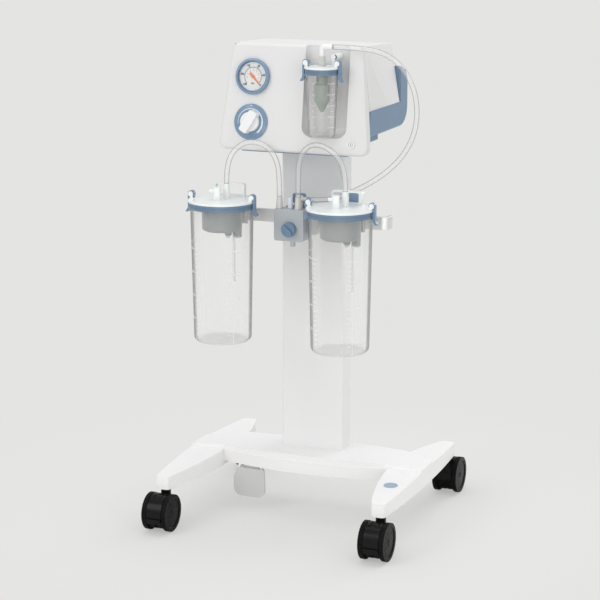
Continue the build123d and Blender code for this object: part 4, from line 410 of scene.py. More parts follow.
def rolling_rubber(name, centre):
    """Black tyre and hub about its own axle, the tread scuffed grey."""
    finish = Finish(name)
    _, y, z = finish.axes(centre)
    reach = (y * y + z * z).root()
    tread = reach.ramp(0.0362, 0.0372)
    scuff = finish.noise(160.0, 5.0).ramp(0.5, 0.8)
    moulding = (reach * 900.0).sine() * (1 - reach.ramp(0.026, 0.028))
    grain = finish.noise(1500.0, 2.0)
    base = finish.mix(0.3 * scuff * tread, (0.006, 0.006, 0.006), (0.035, 0.035, 0.034))
    return finish.surface(
        Base_Color=base, Roughness=0.26 + 0.20 * tread + 0.10 * scuff, Specular_IOR_Level=0.06,
        Normal=finish.bump(grain + 0.4 * moulding, 0.25, 0.00008),
    )


def printed(name, colour):
    """Screen printed ink."""
    finish = Finish(name)
    speck = finish.noise(2500.0, 2.0)
    return finish.surface(
        Base_Color=finish.mix(speck, toned(colour, 0.92), toned(colour, 1.08)),
        Roughness=0.5 + 0.15 * speck,
    )


def block_finish(name, body, cuff, pin):
    """Changeover block: grey body, clear grey cuffs on both hose ports, white centre pin."""
    finish = Finish(name)
    x, y, z = finish.axes((-0.002, -0.0975, 0.6452))
    above = z > 0.0
    on_pin = above * ((x * x + y * y).root() < 0.0056)
    skin = finish.noise(1800.0, 2.0)
    flow = finish.noise(12.0, 4.0)
    base = finish.mix(above, finish.mix(flow, toned(body, 0.96), toned(body, 1.04)), cuff)
    base = finish.mix(on_pin, base, pin)
    return finish.surface(
        Base_Color=base, Roughness=0.30 + 0.08 * skin, Coat_Weight=0.12,
        Normal=finish.bump(skin, 0.15, 0.00005),
    )


def spigot_lid(name, colour, spigot, centre):
    """Lid moulding whose round spigot is a clearer, greyer stretch about its axis."""
    finish = Finish(name)
    x, y, z = finish.axes(centre)
    on_spigot = ((x * x + y * y).root() < 0.0086) * (z > 0.0)
    skin = finish.noise(1300.0, 2.0)
    flow = finish.noise(16.0, 3.0)
    base = finish.mix(flow, toned(colour, 0.985), toned(colour, 1.01))
    return finish.surface(
        Base_Color=finish.mix(on_spigot, base, spigot), Roughness=0.24 + 0.08 * skin, Coat_Weight=0.25,
        Normal=finish.bump(skin, 0.10, 0.00005),
    )


def float_cup(name, colour, tube_top):
    """Grey float valve; below a height only its thin drop tube is left, which is clear."""
    finish = Finish(name)
    _, _, z = finish.axes()
    tube = 1 - z.ramp(tube_top - 0.003, tube_top)
    skin = finish.noise(1200.0, 2.0)
    cup = finish.mix(finish.noise(20.0, 4.0), toned(colour, 0.95), toned(colour, 1.05))
    return finish.surface(
        Base_Color=finish.mix(tube, cup, (0.66, 0.69, 0.69)), Roughness=0.36 + 0.1 * skin,
        Alpha=1 - 0.62 * tube, Normal=finish.bump(skin, 0.2, 0.00006),
    )


def millimetres(name, description, default):
    return bpy.props.FloatProperty(name=name, description=description, default=default / 1000,
                                   min=0.0, unit="LENGTH", subtype="DISTANCE")


def degrees(name, description, default):
    return bpy.props.FloatProperty(name=name, description=description, default=math.radians(default),
                                   unit="ROTATION", subtype="ANGLE")


def count(name, description, default):
    return bpy.props.IntProperty(name=name, description=description, default=default, min=1)


def colour(name, description, default):
    return bpy.props.FloatVectorProperty(name=name, description=description, default=default, size=3,
                                         min=0.0, max=1.0, subtype="COLOR")


class FinishSettings(bpy.types.PropertyGroup):
    """Colours of the unit."""
    white: colour("White", "Column, base and pump cover", (0.83, 0.825, 0.825))
    blue: colour("Blue", "Rings, clips, knobs and bezel", (0.180, 0.280, 0.410))
    housing: colour("Housing blue", "Lower and rear pump housing", (0.175, 0.262, 0.375))
    block: colour("Block grey", "Changeover block", (0.45, 0.475, 0.50))
    needle: colour("Needle orange", "Gauge needle", (0.80, 0.19, 0.04))
    backdrop: colour("Backdrop", "Floor and background", (0.776, 0.776, 0.762))


class TubingSettings(bpy.types.PropertyGroup):
    """Clear tubing."""
    bore: millimetres("Outside diameter", "Of every hose", 10.0)
    sides: count("Sides", "Facets round a quarter of the hose", 5)


class GaugeSettings(bpy.types.PropertyGroup):
    """Printing on the vacuum gauge."""
    divisions: count("Divisions", "Numbered steps of the scale", 5)
    fine: count("Fine marks", "Fine marks in one step", 10)
    sweep: degrees("Sweep", "Angle from the first mark to the last", GAUGE_SWEEP)
    scale_radius: millimetres("Scale radius", "Middle of the marks", 18.4)
    number_radius: millimetres("Number radius", "Middle of the numbers", 23.0)


class JarScaleSettings(bpy.types.PropertyGroup):
    """Volume scales of the jars."""
    pitch: millimetres("Mark pitch", "Rise of 100 ml in a large jar", 9.2)
    first: millimetres("First mark", "Height of the 200 ml mark above the floor", 405.4)
    safety_pitch: millimetres("Safety pitch", "Rise of 50 ml in the safety jar", 21.0)


class TrimSettings(bpy.types.PropertyGroup):
    """Small added trim."""
    badge: millimetres("Badge diameter", "Plain disc on the right leg", 28.0)
    tab_width: millimetres("Tab width", "Release tab of a jar holder", 19.0)
    lip_length: millimetres("Lip length", "Blue lip under the pump's front edge", 222.0)


def scaled(point):
    return Vector(point) / 1000.0


def face_matrix(x, z, out):
    """Local x to the right, y up the leaning pump face and z out of it, from a point raised off it."""
    share = (z - FACE_BOTTOM[1]) / (FACE_TOP[1] - FACE_BOTTOM[1])
    foot = scaled((x, FACE_BOTTOM[0] + share * (FACE_TOP[0] - FACE_BOTTOM[0]), z))
    rise, across = math.cos(LEAN), math.sin(LEAN)
    outward = Vector((0, -rise, across))
    turn = Matrix(((1, 0, 0), (0, across, -rise), (0, rise, across)))
    return Matrix.Translation(foot + outward * out / 1000.0) @ turn.to_4x4()


def front_matrix(x, y, z):
    """Local x to the right, y upward and z towards the front."""
    return Matrix.Translation(scaled((x, y, z))) @ Matrix.Rotation(math.pi / 2, 4, "X")


def paint(mesh, material):
    """Gives a mesh one finish."""
    mesh.materials.clear()
    mesh.materials.append(material)


def piece(name, mesh, material, node):
    """A finished mesh piece at the origin that moves with a construction node."""
    thing = bpy.data.objects.new(name, mesh)
    bpy.context.collection.objects.link(thing)
    paint(mesh, material)
    body = NODES[node]["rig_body"]
    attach(thing, body)


def joined(name, meshes):
    """One mesh from several."""
    form = bmesh.new()
    for mesh in meshes:
        form.from_mesh(mesh)
        bpy.data.meshes.remove(mesh)
    made = bpy.data.meshes.new(name)
    form.to_mesh(made)
    form.free()
    return made


def skin_of(node):
    """Search tree of a construction node's surface."""
    mesh = NODES[node].data
    return BVHTree.FromPolygons([vertex.co.copy() for vertex in mesh.vertices],
                                [tuple(face.vertices) for face in mesh.polygons])


def draped(mesh, matrix, node):
    """Places a flat mesh with a matrix and lays it on the node's surface, its own thickness kept."""
    skin = skin_of(node)
    inward = -(matrix.to_3x3() @ Vector((0, 0, 1)))
    for vertex in mesh.vertices:
        start = matrix @ Vector((vertex.co.x, vertex.co.y, 0)) - inward * 0.03
        hit = skin.ray_cast(start, inward)[0]
        if hit is None:
            raise RuntimeError(f"{mesh.name} reaches past {node}")
        vertex.co = hit - inward * (vertex.co.z + FACE_LIFT)
    return mesh


def outline_rounded(width, height, radius, steps=6):
    """Corner points of a rounded rectangle, anticlockwise, in metres."""
    points = []
    for centre_x, centre_y, start in (
        (width / 2 - radius, height / 2 - radius, 0), (radius - width / 2, height / 2 - radius, 90),
        (radius - width / 2, radius - height / 2, 180), (width / 2 - radius, radius - height / 2, 270),
    ):
        for step in range(steps + 1):
            angle = math.radians(start + 90 * step / steps)
            points.append((centre_x + radius * math.cos(angle), centre_y + radius * math.sin(angle)))
    return points


def outline_round(radius, steps):
    return [(radius * math.cos(math.tau * step / steps), radius * math.sin(math.tau * step / steps))
            for step in range(steps)]


def outline_crescent(outer, inner, shift, half_angle, steps):
    """Sickle between an outer arc and an inner arc whose centre is shifted to the left."""
    outside = [math.radians(-half_angle + 2 * half_angle * step / steps) for step in range(steps + 1)]
    points = [(outer * math.cos(angle), outer * math.sin(angle)) for angle in outside]
    for x, y in reversed(points[1:-1]):
        angle = math.atan2(y, x + shift)
        points.append((inner * math.cos(angle) - shift, inner * math.sin(angle)))
    return points


def plate(name, outline, depth, soft=0.0):
    """Closed plate on z = 0 with the outline given and its upper edge softened, all in metres."""
    form = bmesh.new()
    base = form.faces.new([form.verts.new((x, y, 0)) for x, y in outline])
    raised = bmesh.ops.extrude_face_region(form, geom=[base])["geom"]
    top = [part for part in raised if isinstance(part, bmesh.types.BMVert)]
    bmesh.ops.translate(form, verts=top, vec=(0, 0, depth))
    if soft:
        rim = [edge for edge in form.edges if all(vertex.co.z > depth - 1e-6 for vertex in edge.verts)]
        bmesh.ops.bevel(form, geom=rim, offset=soft, segments=3, affect="EDGES", profile=0.5)
    bmesh.ops.recalc_face_normals(form, faces=form.faces)
    mesh = bpy.data.meshes.new(name)
    form.to_mesh(mesh)
    form.free()
    return mesh


def lettering(text, height, centre=(0.0, 0.0), bold=0.0):
    """Figures of a plain typeface as a closed mesh on z = 0, in metres."""
    line = bpy.data.curves.new("figures", "FONT")
    line.body = text
    line.size = height / 0.70
    line.align_x, line.align_y = "CENTER", "CENTER"
    line.resolution_u = 2
    line.offset = bold
    line.extrude = FIGURE_INK / 2
    holder = bpy.data.objects.new("figures", line)
    mesh = bpy.data.meshes.new_from_object(holder)
    bpy.data.objects.remove(holder)
    bpy.data.curves.remove(line)
    mesh.transform(Matrix.Translation((*centre, FIGURE_INK / 2)))
    return mesh


def round_figures(labels, height, radius, first, step, bold):
    """Figures at an even step along an arc."""
    meshes = []
    for place, label in enumerate(labels):
        angle = first + step * place
        centre = (radius * math.cos(angle), radius * math.sin(angle))
        meshes.append(lettering(label, height, centre, bold))
    return meshes


def wrapped(mesh, vessel, turn, height):
    """Bends a flat mesh round a jar: x follows the girth from an angle, y climbs from a height."""
    for vertex in mesh.vertices:
        z = height + vertex.co.y
        radius = vessel.radius(z * 1000) / 1000 + JAR_LIFT
        angle = turn + vertex.co.x / radius
        reach = radius + vertex.co.z
        x, y = vessel.x / 1000 + reach * math.sin(angle), vessel.y / 1000 - reach * math.cos(angle)
        vertex.co = (x, y, z)
    return mesh


def arc_marks():
    """Bars laid along the radii of an arc at an even step."""
    form = Form("arc_marks", count=6, radius=0.02, first=0.0, step=0.1, length=0.002, width=0.0004,
                thickness=MARK_INK)
    size = form.size
    angle = size["first"] + size["step"] * form.node("GeometryNodeInputIndex")
    points = form.node("GeometryNodeMeshLine", Count=size["count"])
    place = form.vector(angle.cosine() * size["radius"], angle.sine() * size["radius"],
                        size["thickness"] / 2)
    points = form.node("GeometryNodeSetPosition", Geometry=points, Position=place)
    bar = form.node("GeometryNodeMeshCube",
                    Size=form.vector(size["length"], size["width"], size["thickness"]))
    return form.finish(form.node("GeometryNodeInstanceOnPoints", Points=points, Instance=bar,
                                 Rotation=form.vector(0.0, 0.0, angle)))


def arc_band():
    """Flat band along an arc whose width changes evenly from one end to the other."""
    form = Form("arc_band", radius=0.02, first=0.0, sweep=1.0, width=0.001, end_width=0.001,
                thickness=MARK_INK)
    size = form.size
    strip = form.node("GeometryNodeMeshCube", Size=(1, 1, 1), Vertices_X=97)
    x, y, z = form.parts(form.node("GeometryNodeInputPosition"))
    share = x + 0.5
    angle = size["first"] + size["sweep"] * share
    reach = size["radius"] + y * (size["width"] + (size["end_width"] - size["width"]) * share)
    bent = form.vector(angle.cosine() * reach, angle.sine() * reach, (z + 0.5) * size["thickness"])
    return form.finish(form.node("GeometryNodeSetPosition", Geometry=strip, Position=bent))


def wrapped_scale():
    """Level marks up a jar, every so many of them long, bent round its tapering wall."""
    form = Form("wrapped_scale", count=10, every=5, long_at=0, low=0.4, pitch=0.01, short=0.005, long=0.008,
                side=-1.0, width=0.0004, thickness=MARK_INK, turn=0.0, x=0.0, y=0.0, foot=0.0,
                foot_radius=0.05, taper=0.0)
    size = form.size
    index = form.node("GeometryNodeInputIndex")
    is_long = ((index - size["long_at"]) % size["every"]) < 0.5
    length = size["short"] + (size["long"] - size["short"]) * is_long
    points = form.node("GeometryNodeMeshLine", Count=size["count"])
    start = form.vector(size["side"] * length / 2, size["low"] + size["pitch"] * index,
                        size["thickness"] / 2)
    points = form.node("GeometryNodeSetPosition", Geometry=points, Position=start)
    bar = form.node("GeometryNodeMeshCube", Size=form.vector(1.0, size["width"], size["thickness"]),
                    Vertices_X=6)
    marks = form.node("GeometryNodeInstanceOnPoints", Points=points, Instance=bar,
                      Scale=form.vector(length, 1.0, 1.0))
    flat = form.node("GeometryNodeRealizeInstances", Geometry=marks)
    along, rise, out = form.parts(form.node("GeometryNodeInputPosition"))
    wall = size["foot_radius"] + size["taper"] * (rise - size["foot"])
    angle = size["turn"] + along / wall
    bent = form.vector(size["x"] + angle.sine() * (wall + out), size["y"] - angle.cosine() * (wall + out),
                       rise)
    return form.finish(form.node("GeometryNodeSetPosition", Geometry=flat, Position=bent))


def socket_heads():
    """Flat hexagons on four screw heads in a rectangle, which take the painted shade of their sockets."""
    form = Form("socket_heads", half_width=0.03, half_height=0.01, across=0.004, depth=0.0002)
    size = form.size
    grid = form.node("GeometryNodeMeshGrid", Size_X=size["half_width"] * 2,
                     Size_Y=size["half_height"] * 2, Vertices_X=2, Vertices_Y=2)
    hexagon = form.node("GeometryNodeMeshCylinder", {"fill_type": "NGON"}, Vertices=6,
                        Radius=size["across"] / 2, Depth=size["depth"])
    return form.finish(form.node("GeometryNodeInstanceOnPoints", Points=grid, Instance=hexagon))


def turned_to(place, aim):
    """Rotation that points a lamp or a camera from a place to another."""
    return (Vector(aim) - Vector(place)).to_track_quat("-Z", "Y").to_euler()


class SUCTION_OT_stage(bpy.types.Operator):
    """Camera, lamps, floor and background"""
    bl_idname = "suction.stage"
    bl_label = "Stage"

    def execute(self, context):
        scene = context.scene
        backdrop = tuple(scene.suction_finish.backdrop)
        self.view(scene)
        self.lamps(scene)
        self.background(scene, backdrop)
        self.floor(scene, backdrop)
        return {"FINISHED"}

    def view(self, scene):
        sight = bpy.data.cameras.new("camera")
        sight.sensor_width = 36.0
        sight.lens = CAMERA_LENS
        sight.clip_end = 2 * FLOOR_RADIUS
        camera = bpy.data.objects.new("camera", sight)
        scene.collection.objects.link(camera)
        camera.location = CAMERA_AT
        camera.rotation_euler = turned_to((0, 0, 0), CAMERA_AHEAD)
        scene.camera = camera
        scene.view_settings.view_transform = "Standard"

    def lamps(self, scene):
        for name, place, size, power, aim in LAMPS:
            lamp = bpy.data.lights.new(name, "AREA")
            lamp.shape = "RECTANGLE"
            lamp.size, lamp.size_y = size
            lamp.energy = power
            stand = bpy.data.objects.new(name, lamp)
            scene.collection.objects.link(stand)
            stand.location = place
            stand.rotation_euler = turned_to(place, aim)

    def background(self, scene, backdrop):
        """Even white light round the unit, which the camera sees as the backdrop's colour."""
        world = bpy.data.worlds.new("studio")
        scene.world = world
        world.use_nodes = True
        sky = Graph(world.node_tree)
        sky.tree.nodes.clear()
        ambient = sky.node("ShaderNodeBackground", Color=(1, 1, 1), Strength=AMBIENT)
        shown = sky.node("ShaderNodeBackground", Color=backdrop)
        mixed = sky.node("ShaderNodeMixShader", _0=sky.seen_rays(), _1=ambient, _2=shown)
        output = sky.tree.nodes.new("ShaderNodeOutputWorld")
        sky.tree.links.new(mixed.socket, output.inputs[0])

    def floor(self, scene, backdrop):
        """Floor that takes a soft shadow near the unit and meets the backdrop away from it."""
        form = bmesh.new()
        bmesh.ops.create_circle(form, cap_ends=True, segments=96, radius=FLOOR_RADIUS)
        mesh = bpy.data.meshes.new("floor")
        form.to_mesh(mesh)
        form.free()
        floor = bpy.data.objects.new("floor", mesh)
        scene.collection.objects.link(floor)
        floor.location = (0, 0, -FLOOR_DROP)
        finish = Finish("floor")
        x, y, _ = finish.axes()
        far = (x * x + y * y).root().ramp(*SHADOW_ENDS)
        lit = finish.node("ShaderNodeBsdfDiffuse", Color=toned(backdrop, 0.99))
        even = finish.node("ShaderNodeEmission", Color=backdrop, Strength=1.0)
        shader = finish.node("ShaderNodeMixShader", _0=(0.5 + 0.5 * far) * finish.seen_rays(),
                             _1=lit, _2=even)
        finish.tree.links.new(shader.socket, finish.output.inputs["Surface"])
        mesh.materials.append(finish.material)


def hose_line(name, route):
    """One open NURBS spline through the route's control points, in metres."""
    line = bpy.data.curves.new(name, "CURVE")
    line.dimensions = "3D"
    line.resolution_u = 12
    spline = line.splines.new("NURBS")
    spline.points.add(len(route) - 1)
    for point, place in zip(spline.points, route):
        point.co = (*scaled(place), 1)
    spline.order_u = 3
    spline.use_endpoint_u = True
    return line


def spline_length(line):
    """Length of the curve's own centreline, in metres."""
    probe = bpy.data.objects.new("probe", line)
    mesh = bpy.data.meshes.new_from_object(probe)
    points = [vertex.co.copy() for vertex in mesh.vertices]
    bpy.data.objects.remove(probe)
    bpy.data.meshes.remove(mesh)
    return sum((second - first).length for first, second in zip(points, points[1:]))


class SUCTION_OT_hoses(bpy.types.Operator):
    """The clear vacuum hose and the two clear suction hoses"""
    bl_idname = "suction.hoses"
    bl_label = "Hoses"

    def execute(self, context):
        tubing = context.scene.suction_tubing
        # The second colour is the painted dark reflection along the hose's edges
        coat = clear_plastic("clear_hose", (0.88, 0.88, 0.87), (0.34, 0.345, 0.34), body=0.22, edge=0.74,
                             turn=(0.06, 0.66), rough=0.12, level_share=1.0)
        for name, route in (
            ("vacuum_hose", VACUUM_ROUTE),
            ("suction_hose_left", LEFT_ROUTE),
            ("suction_hose_right", RIGHT_ROUTE),
        ):
            line = hose_line(name + "_tube", route)
            length = spline_length(line)
            line.bevel_depth = tubing.bore / 2
            line.bevel_resolution = tubing.sides
            line.use_fill_caps = True
            tube = bpy.data.objects.new(name + "_tube", line)
            context.collection.objects.link(tube)
            line.materials.append(coat)
            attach(tube, "trolley")
            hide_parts(name)
        return {"FINISHED"}


class SUCTION_OT_finishes(bpy.types.Operator):
    """Finish of every construction node"""
    bl_idname = "suction.finishes"
    bl_label = "Finishes"

    def execute(self, context):
        look = context.scene.suction_finish
        white, blue = tuple(look.white), tuple(look.blue)
        coats = {
            "white_steel": powder_coat("white_powder_coat", white),
            "white_shell": moulded_plastic("white_moulding", toned(white, 0.885), gloss=0.40, grain=1700.0,
                                           depth=0.30, mottle=0.006),
            "pedal_grey": moulded_plastic("grey_pedal", (0.60, 0.605, 0.60), gloss=0.46, grain=1500.0,
                                          depth=0.25, mottle=0.01),
            "rail_steel": brushed_metal("brushed_rail", (0.88, 0.88, 0.86)),
            "zinc_steel": brushed_metal("zinc_screws", (0.62, 0.63, 0.64), (60, 60, 60), 0.3),
            "black_nylon": moulded_plastic("black_nylon", (0.007, 0.007, 0.007), gloss=0.22, grain=900.0,
                                           depth=0.20, mottle=0.10, shine=0.14),
            "housing_blue": moulded_plastic("blue_housing", tuple(look.housing), gloss=0.38, grain=1500.0,
                                            depth=0.30, mottle=0.02),
            "trim_blue": moulded_plastic("blue_trim", blue, gloss=0.26, grain=2400.0, depth=0.12,
                                         coat=0.25),
            "dial_white": moulded_plastic("dial_card", (0.79, 0.79, 0.785), gloss=0.55, grain=3000.0,
                                          depth=0.1, mottle=0.01),
            "needle_orange": moulded_plastic("needle_enamel", tuple(look.needle), gloss=0.35, grain=3000.0,
                                             depth=0.1),
            "knob_white": moulded_plastic("white_knob", (0.84, 0.845, 0.84), gloss=0.22, grain=2600.0,
                                          depth=0.10, coat=0.3, mottle=0.006),
            "cast_alloy": cast_metal("cast_alloy", (0.55, 0.56, 0.57)),
            "valve_brass": brushed_metal("turned_brass", (0.72, 0.52, 0.24), (60, 60, 60), 0.25),
            "board_green": circuit_board("board_lacquer"),
            "inlet_black": moulded_plastic("inlet_black", (0.022, 0.022, 0.025), gloss=0.4),
            # The second colours of the clear jar and window are painted dark reflections where their walls
            # are seen edgewise
            "clear_jar": clear_plastic("clear_jar", (0.96, 0.96, 0.95), (0.05, 0.052, 0.05), body=0.045,
                                       edge=0.92, turn=(0.50, 0.84), rough=0.07, level_share=0.40,
                                       haze=0.11),
            "clear_window": clear_plastic("clear_window", (0.8, 0.82, 0.83), (0.4, 0.42, 0.43), body=0.04,
                                          edge=0.5, turn=(0.7, 0.98), rough=0.03),
            "lid_white": spigot_lid("translucent_lid", (0.84, 0.875, 0.865), (0.56, 0.58, 0.54),
                                    (0.062, -0.094, 0.923)),
            "valve_grey": float_cup("grey_valve", (0.31, 0.33, 0.33), 0.594),
            "block_grey": block_finish("block_grey", tuple(look.block), (0.66, 0.66, 0.64),
                                       (0.70, 0.75, 0.84)),
            "holder_grey": moulded_plastic("holder_grey", (0.25, 0.255, 0.25), gloss=0.42, grain=1500.0,
                                           depth=0.3),
        }
        for part in frame["record"]["subparts"]:
            node, slot = part["node"], part["material_slot"]
            if slot == "tread_rubber":
                low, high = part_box(node)
                centre = [(low[axis] + high[axis]) / 2 for axis in range(3)]
                paint(NODES[node].data, rolling_rubber("tyre_" + node, centre))
            elif slot in coats:
                paint(NODES[node].data, coats[slot])
        # Painted light: the same white paint as the column, made 9% brighter on the base to lift the shade
        # that falls on it from the pump and jars
        base = powder_coat("white_base_coat", toned(white, 1.09))
        ring = moulded_plastic("blue_ring", toned(blue, 0.78), gloss=0.34, grain=2200.0, depth=0.12,
                               coat=0.15)
        cage = moulded_plastic("float_cage", (0.28, 0.33, 0.29), gloss=0.40, grain=1200.0, depth=0.2)
        knob = moulded_plastic("blue_valve_knob", toned(blue, 0.88), gloss=0.34, grain=1900.0, depth=0.25)
        for nodes, material in (
            (("base_leg_left", "base_leg_right", "base_crossbar"), base),
            (("jar_ring_left", "jar_ring_right", "safety_ring"), ring),
            (("safety_float_cage",), cage),
            (("changeover_knob",), knob),
        ):
            for node in nodes:
                paint(NODES[node].data, material)
        return {"FINISHED"}


class SUCTION_OT_gauge_print(bpy.types.Operator):
    """Marks and plain numbers on the vacuum gauge"""
    bl_idname = "suction.gauge_print"
    bl_label = "Gauge print"

    def execute(self, context):
        gauge = context.scene.suction_gauge
        black = printed("black_ink", (0.020, 0.020, 0.028))
        brown = printed("brown_ink", (0.30, 0.12, 0.07))
        first = math.radians(GAUGE_REST)
        marks = arc_marks()
        step = gauge.sweep / gauge.divisions
        outer = [
            marks.mesh("fine_marks", count=gauge.divisions * gauge.fine + 1, radius=gauge.scale_radius,
                       first=first, step=step / gauge.fine, length=0.0022, width=0.00050),
            marks.mesh("main_marks", count=gauge.divisions + 1, radius=gauge.scale_radius + 0.0008,
                       first=first, step=step, length=0.0050, width=0.0011),
            arc_band().mesh("scale_line", radius=gauge.scale_radius - 0.0011, first=first,
                            sweep=gauge.sweep, width=0.0005, end_width=0.0005),
            *round_figures([str(20 * number) for number in range(gauge.divisions + 1)], height=0.0042,
                           radius=gauge.number_radius, first=first, step=step, bold=0.00022),
            lettering("kPa", height=0.0036, centre=(0.0, -0.0135), bold=0.00015),
        ]
        step = gauge.sweep / 8
        inner = [
            marks.mesh("inner_marks", count=17, radius=0.0154, first=first + 0.10, step=gauge.sweep / 17.5,
                       length=0.0012, width=0.0003),
            *round_figures("1234567", height=0.0026, radius=0.0121, first=first + step, step=step,
                           bold=0.00012),
        ]
        for name, meshes, ink, slot in (
            ("gauge_scale", outer, black, "inlet_black"),
            ("gauge_inner_scale", inner, brown, "needle_orange"),
        ):
            for mesh in meshes:
                draped(mesh, face_matrix(*GAUGE_AT, out=4.0), "gauge_dial")
            piece(name, joined(name, meshes), ink, "gauge_dial")
        return {"FINISHED"}


class SUCTION_OT_control_marks(bpy.types.Operator):
    """White wedge and dot round the vacuum knob, and the sign on the power button"""
    bl_idname = "suction.control_marks"
    bl_label = "Control marks"

    def execute(self, context):
        white = printed("white_ink", (0.80, 0.81, 0.81))
        grey = printed("grey_ink", (0.26, 0.27, 0.28))
        band = arc_band()
        dial = face_matrix(*DIAL_AT, out=8.0)
        wedge = band.mesh("wedge", radius=0.0255, first=math.radians(190), sweep=math.radians(-242),
                          width=0.0006, end_width=0.0032)
        draped(wedge, dial, "dial_ring")
        dot = plate("dot", outline_round(0.0011, 16), depth=SPOT_INK)
        draped(dot, dial @ Matrix.Translation((0, 0.0318, 0)), "dial_ring")
        piece("dial_scale", joined("dial_scale", [wedge, dot]), white, "dial_ring")
        ring = band.mesh("ring", radius=0.0043, first=0.0, sweep=math.tau, width=0.0008, end_width=0.0008)
        centre = plate("centre", outline_round(0.0015, 18), depth=SPOT_INK)
        for mesh in (ring, centre):
            draped(mesh, face_matrix(*BUTTON_AT, out=6.0), "power_button")
        piece("power_sign", joined("power_sign", [ring, centre]), grey, "power_button")
        return {"FINISHED"}


def wall_sizes(vessel):
    """A jar's sizes for the tree that wraps marks round it, in metres."""
    (low, small), (high, large) = vessel.foot, vessel.head
    return {"x": vessel.x / 1000, "y": vessel.y / 1000, "foot": low / 1000,
            "foot_radius": small / 1000 + JAR_LIFT, "taper": (large - small) / (high - low)}


class SUCTION_OT_jar_scales(bpy.types.Operator):
    """Volume marks and plain numbers on the three jars"""
    bl_idname = "suction.jar_scales"
    bl_label = "Jar scales"

    def execute(self, context):
        scale = context.scene.suction_jar_scale
        ink = printed("jar_ink", (0.87, 0.88, 0.88))
        marks = wrapped_scale()
        for vessel in JARS:
            sizes = wall_sizes(vessel)
            girth = vessel.radius(490) / 1000
            meshes = []
            for degree, side in ((45, -1), (-41, 1)):
                turn = math.radians(degree)
                line = plate("line", outline_rounded(0.0006, 0.205, 0.0002, steps=1), depth=MARK_INK)
                meshes += [
                    marks.mesh("fine_marks", count=19, every=5, long_at=3, low=scale.first,
                               pitch=scale.pitch, short=0.0075, long=0.0100, side=float(side),
                               width=0.0009, turn=turn + side * 0.0035 / girth, **sizes),
                    marks.mesh("main_marks", count=4, every=1, long_at=0,
                               low=scale.first + 3 * scale.pitch, pitch=5 * scale.pitch, short=0.004,
                               long=0.004, side=float(-side), width=0.0012, turn=turn, **sizes),
                    wrapped(line, vessel, turn, 0.4905),
                ]
                beside = turn - side * 0.0107 / girth
                meshes.append(wrapped(lettering("ml", height=0.0042), vessel, beside, 0.586))
                for volume in (500, 1000, 1500, 2000):
                    level = scale.first + scale.pitch * (volume / 100 - 2)
                    figures = lettering(str(volume), height=0.0044, bold=0.0001)
                    meshes.append(wrapped(figures, vessel, beside, level))
            name = vessel.node + "_scale"
            piece(name, joined(name, meshes), ink, vessel.node)

        low, pitch = 0.808, scale.safety_pitch
        meshes = [
            marks.mesh("marks", count=9, every=2, long_at=0, low=low, pitch=pitch / 2, short=short,
                       long=long, side=1.0, width=0.0010, turn=math.radians(degree), **wall_sizes(SAFETY))
            for degree, short, long in ((58, 0.004, 0.010), (-20, 0.003, 0.007))
        ]
        for step in range(5):
            figures = lettering(str(50 * (step + 1)), height=0.0034)
            meshes.append(wrapped(figures, SAFETY, math.radians(48), low + pitch * step))
        piece("safety_jar_scale", joined("safety_jar_scale", meshes), ink, "safety_jar")
        return {"FINISHED"}


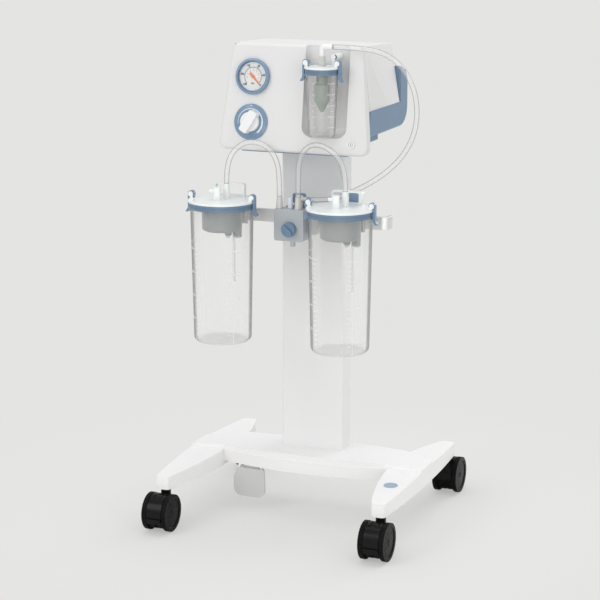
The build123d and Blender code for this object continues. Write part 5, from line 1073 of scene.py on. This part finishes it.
class SUCTION_OT_trim(bpy.types.Operator):
    """Badge disc, blue lip, grip inlay, holder tab, and painted shade in the port gap and screw sockets"""
    bl_idname = "suction.trim"
    bl_label = "Trim"

    def execute(self, context):
        trim = context.scene.suction_trim
        look = context.scene.suction_finish
        blue = moulded_plastic("blue_inlay", toned(look.blue, 1.05), gloss=0.30, grain=2200.0, depth=0.12,
                               coat=0.2)
        pale_blue = moulded_plastic("blue_badge", (0.31, 0.42, 0.55), gloss=0.34, grain=2600.0, depth=0.10,
                                    coat=0.15, mottle=0.02)
        # Near-black plastic that paints the shade in the gap beside the port plug and in the screw sockets
        recess_shade = moulded_plastic("dark_seal", (0.045, 0.045, 0.042), gloss=0.5, grain=1400.0, depth=0.3)

        spot, normal = skin_of("base_leg_right").ray_cast(scaled(BADGE_AT), Vector((0, 0, -1)))[:2]
        badge = plate("badge", outline_round(trim.badge / 2, 48), depth=0.0009, soft=0.0004)
        badge.transform(Matrix.Translation(spot) @ normal.to_track_quat("Z", "Y").to_matrix().to_4x4())
        piece("leg_badge", badge, pale_blue, "base_leg_right")

        lip = plate("lip", outline_rounded(trim.lip_length, 0.008, 0.0039), depth=0.0034, soft=0.001)
        lip.transform(Matrix.Translation(scaled(LIP_AT)) @ Matrix.Rotation(math.pi, 4, "X"))
        piece("front_lip", lip, blue, "pump_cover")

        inlay = plate("inlay", outline_rounded(0.0042, 0.026, 0.0021), depth=0.0005, soft=0.0002)
        inlay.transform(front_matrix(*GRIP_INLAY_AT))
        piece("grip_inlay", inlay, blue, "block_clamp")

        tab = plate("tab", outline_rounded(trim.tab_width, 0.040, 0.0035), depth=0.004, soft=0.001)
        tab.transform(front_matrix(*TAB_AT))
        piece("holder_tab_right", tab, blue, "jar_holder_right")

        # Painted shade: dark hexagons on the screw heads where their sockets lie in shade
        sockets = socket_heads().mesh("sockets", half_width=SCREW_HALF_WIDTH / 1000,
                                      half_height=SCREW_HALF_RISE / 1000, across=0.0042, depth=0.0003)
        sockets.transform(front_matrix(*SCREWS_AT))
        piece("bracket_screw_socket_shade", sockets, recess_shade, "mounting_screws")

        # Painted shade: a dark crescent where the gap beside the port plug lies in shade
        sickle = outline_crescent(0.0056, 0.0050, 0.0017, half_angle=75, steps=20)
        gap_shade = plate("gap_shade", sickle, depth=0.0004)
        gap_shade.transform(front_matrix(*PORT_GAP_SHADE_AT))
        piece("port_gap_painted_shade", gap_shade, recess_shade, "safety_lid")
        return {"FINISHED"}


class SUCTION_PT_panel(bpy.types.Panel):
    """Lists the operators and settings of the suction unit"""
    bl_idname = "SUCTION_PT_panel"
    bl_label = "Suction unit"
    bl_space_type = "VIEW_3D"
    bl_region_type = "UI"
    bl_category = "Suction unit"

    def draw(self, context):
        column = self.layout.column()
        for operator in OPERATORS:
            column.operator(operator.bl_idname)
        for place in SETTINGS:
            group = getattr(context.scene, place)
            for name in group.bl_rna.properties.keys():
                if name not in {"name", "rna_type"}:
                    column.prop(group, name)


SETTINGS = {
    "suction_finish": FinishSettings,
    "suction_tubing": TubingSettings,
    "suction_gauge": GaugeSettings,
    "suction_jar_scale": JarScaleSettings,
    "suction_trim": TrimSettings,
}
OPERATORS = [SUCTION_OT_stage, SUCTION_OT_hoses, SUCTION_OT_finishes, SUCTION_OT_gauge_print,
             SUCTION_OT_control_marks, SUCTION_OT_jar_scales, SUCTION_OT_trim]
CLASSES = [*SETTINGS.values(), *OPERATORS, SUCTION_PT_panel]


def register():
    for made in CLASSES:
        bpy.utils.register_class(made)
    for place, group in SETTINGS.items():
        setattr(bpy.types.Scene, place, bpy.props.PointerProperty(type=group))


def unregister():
    for place in SETTINGS:
        delattr(bpy.types.Scene, place)
    for made in reversed(CLASSES):
        bpy.utils.unregister_class(made)


def main():
    register()
    for operator in OPERATORS:
        group, name = operator.bl_idname.split(".")
        getattr(getattr(bpy.ops, group), name)()


if __name__ == "__main__":
    main()
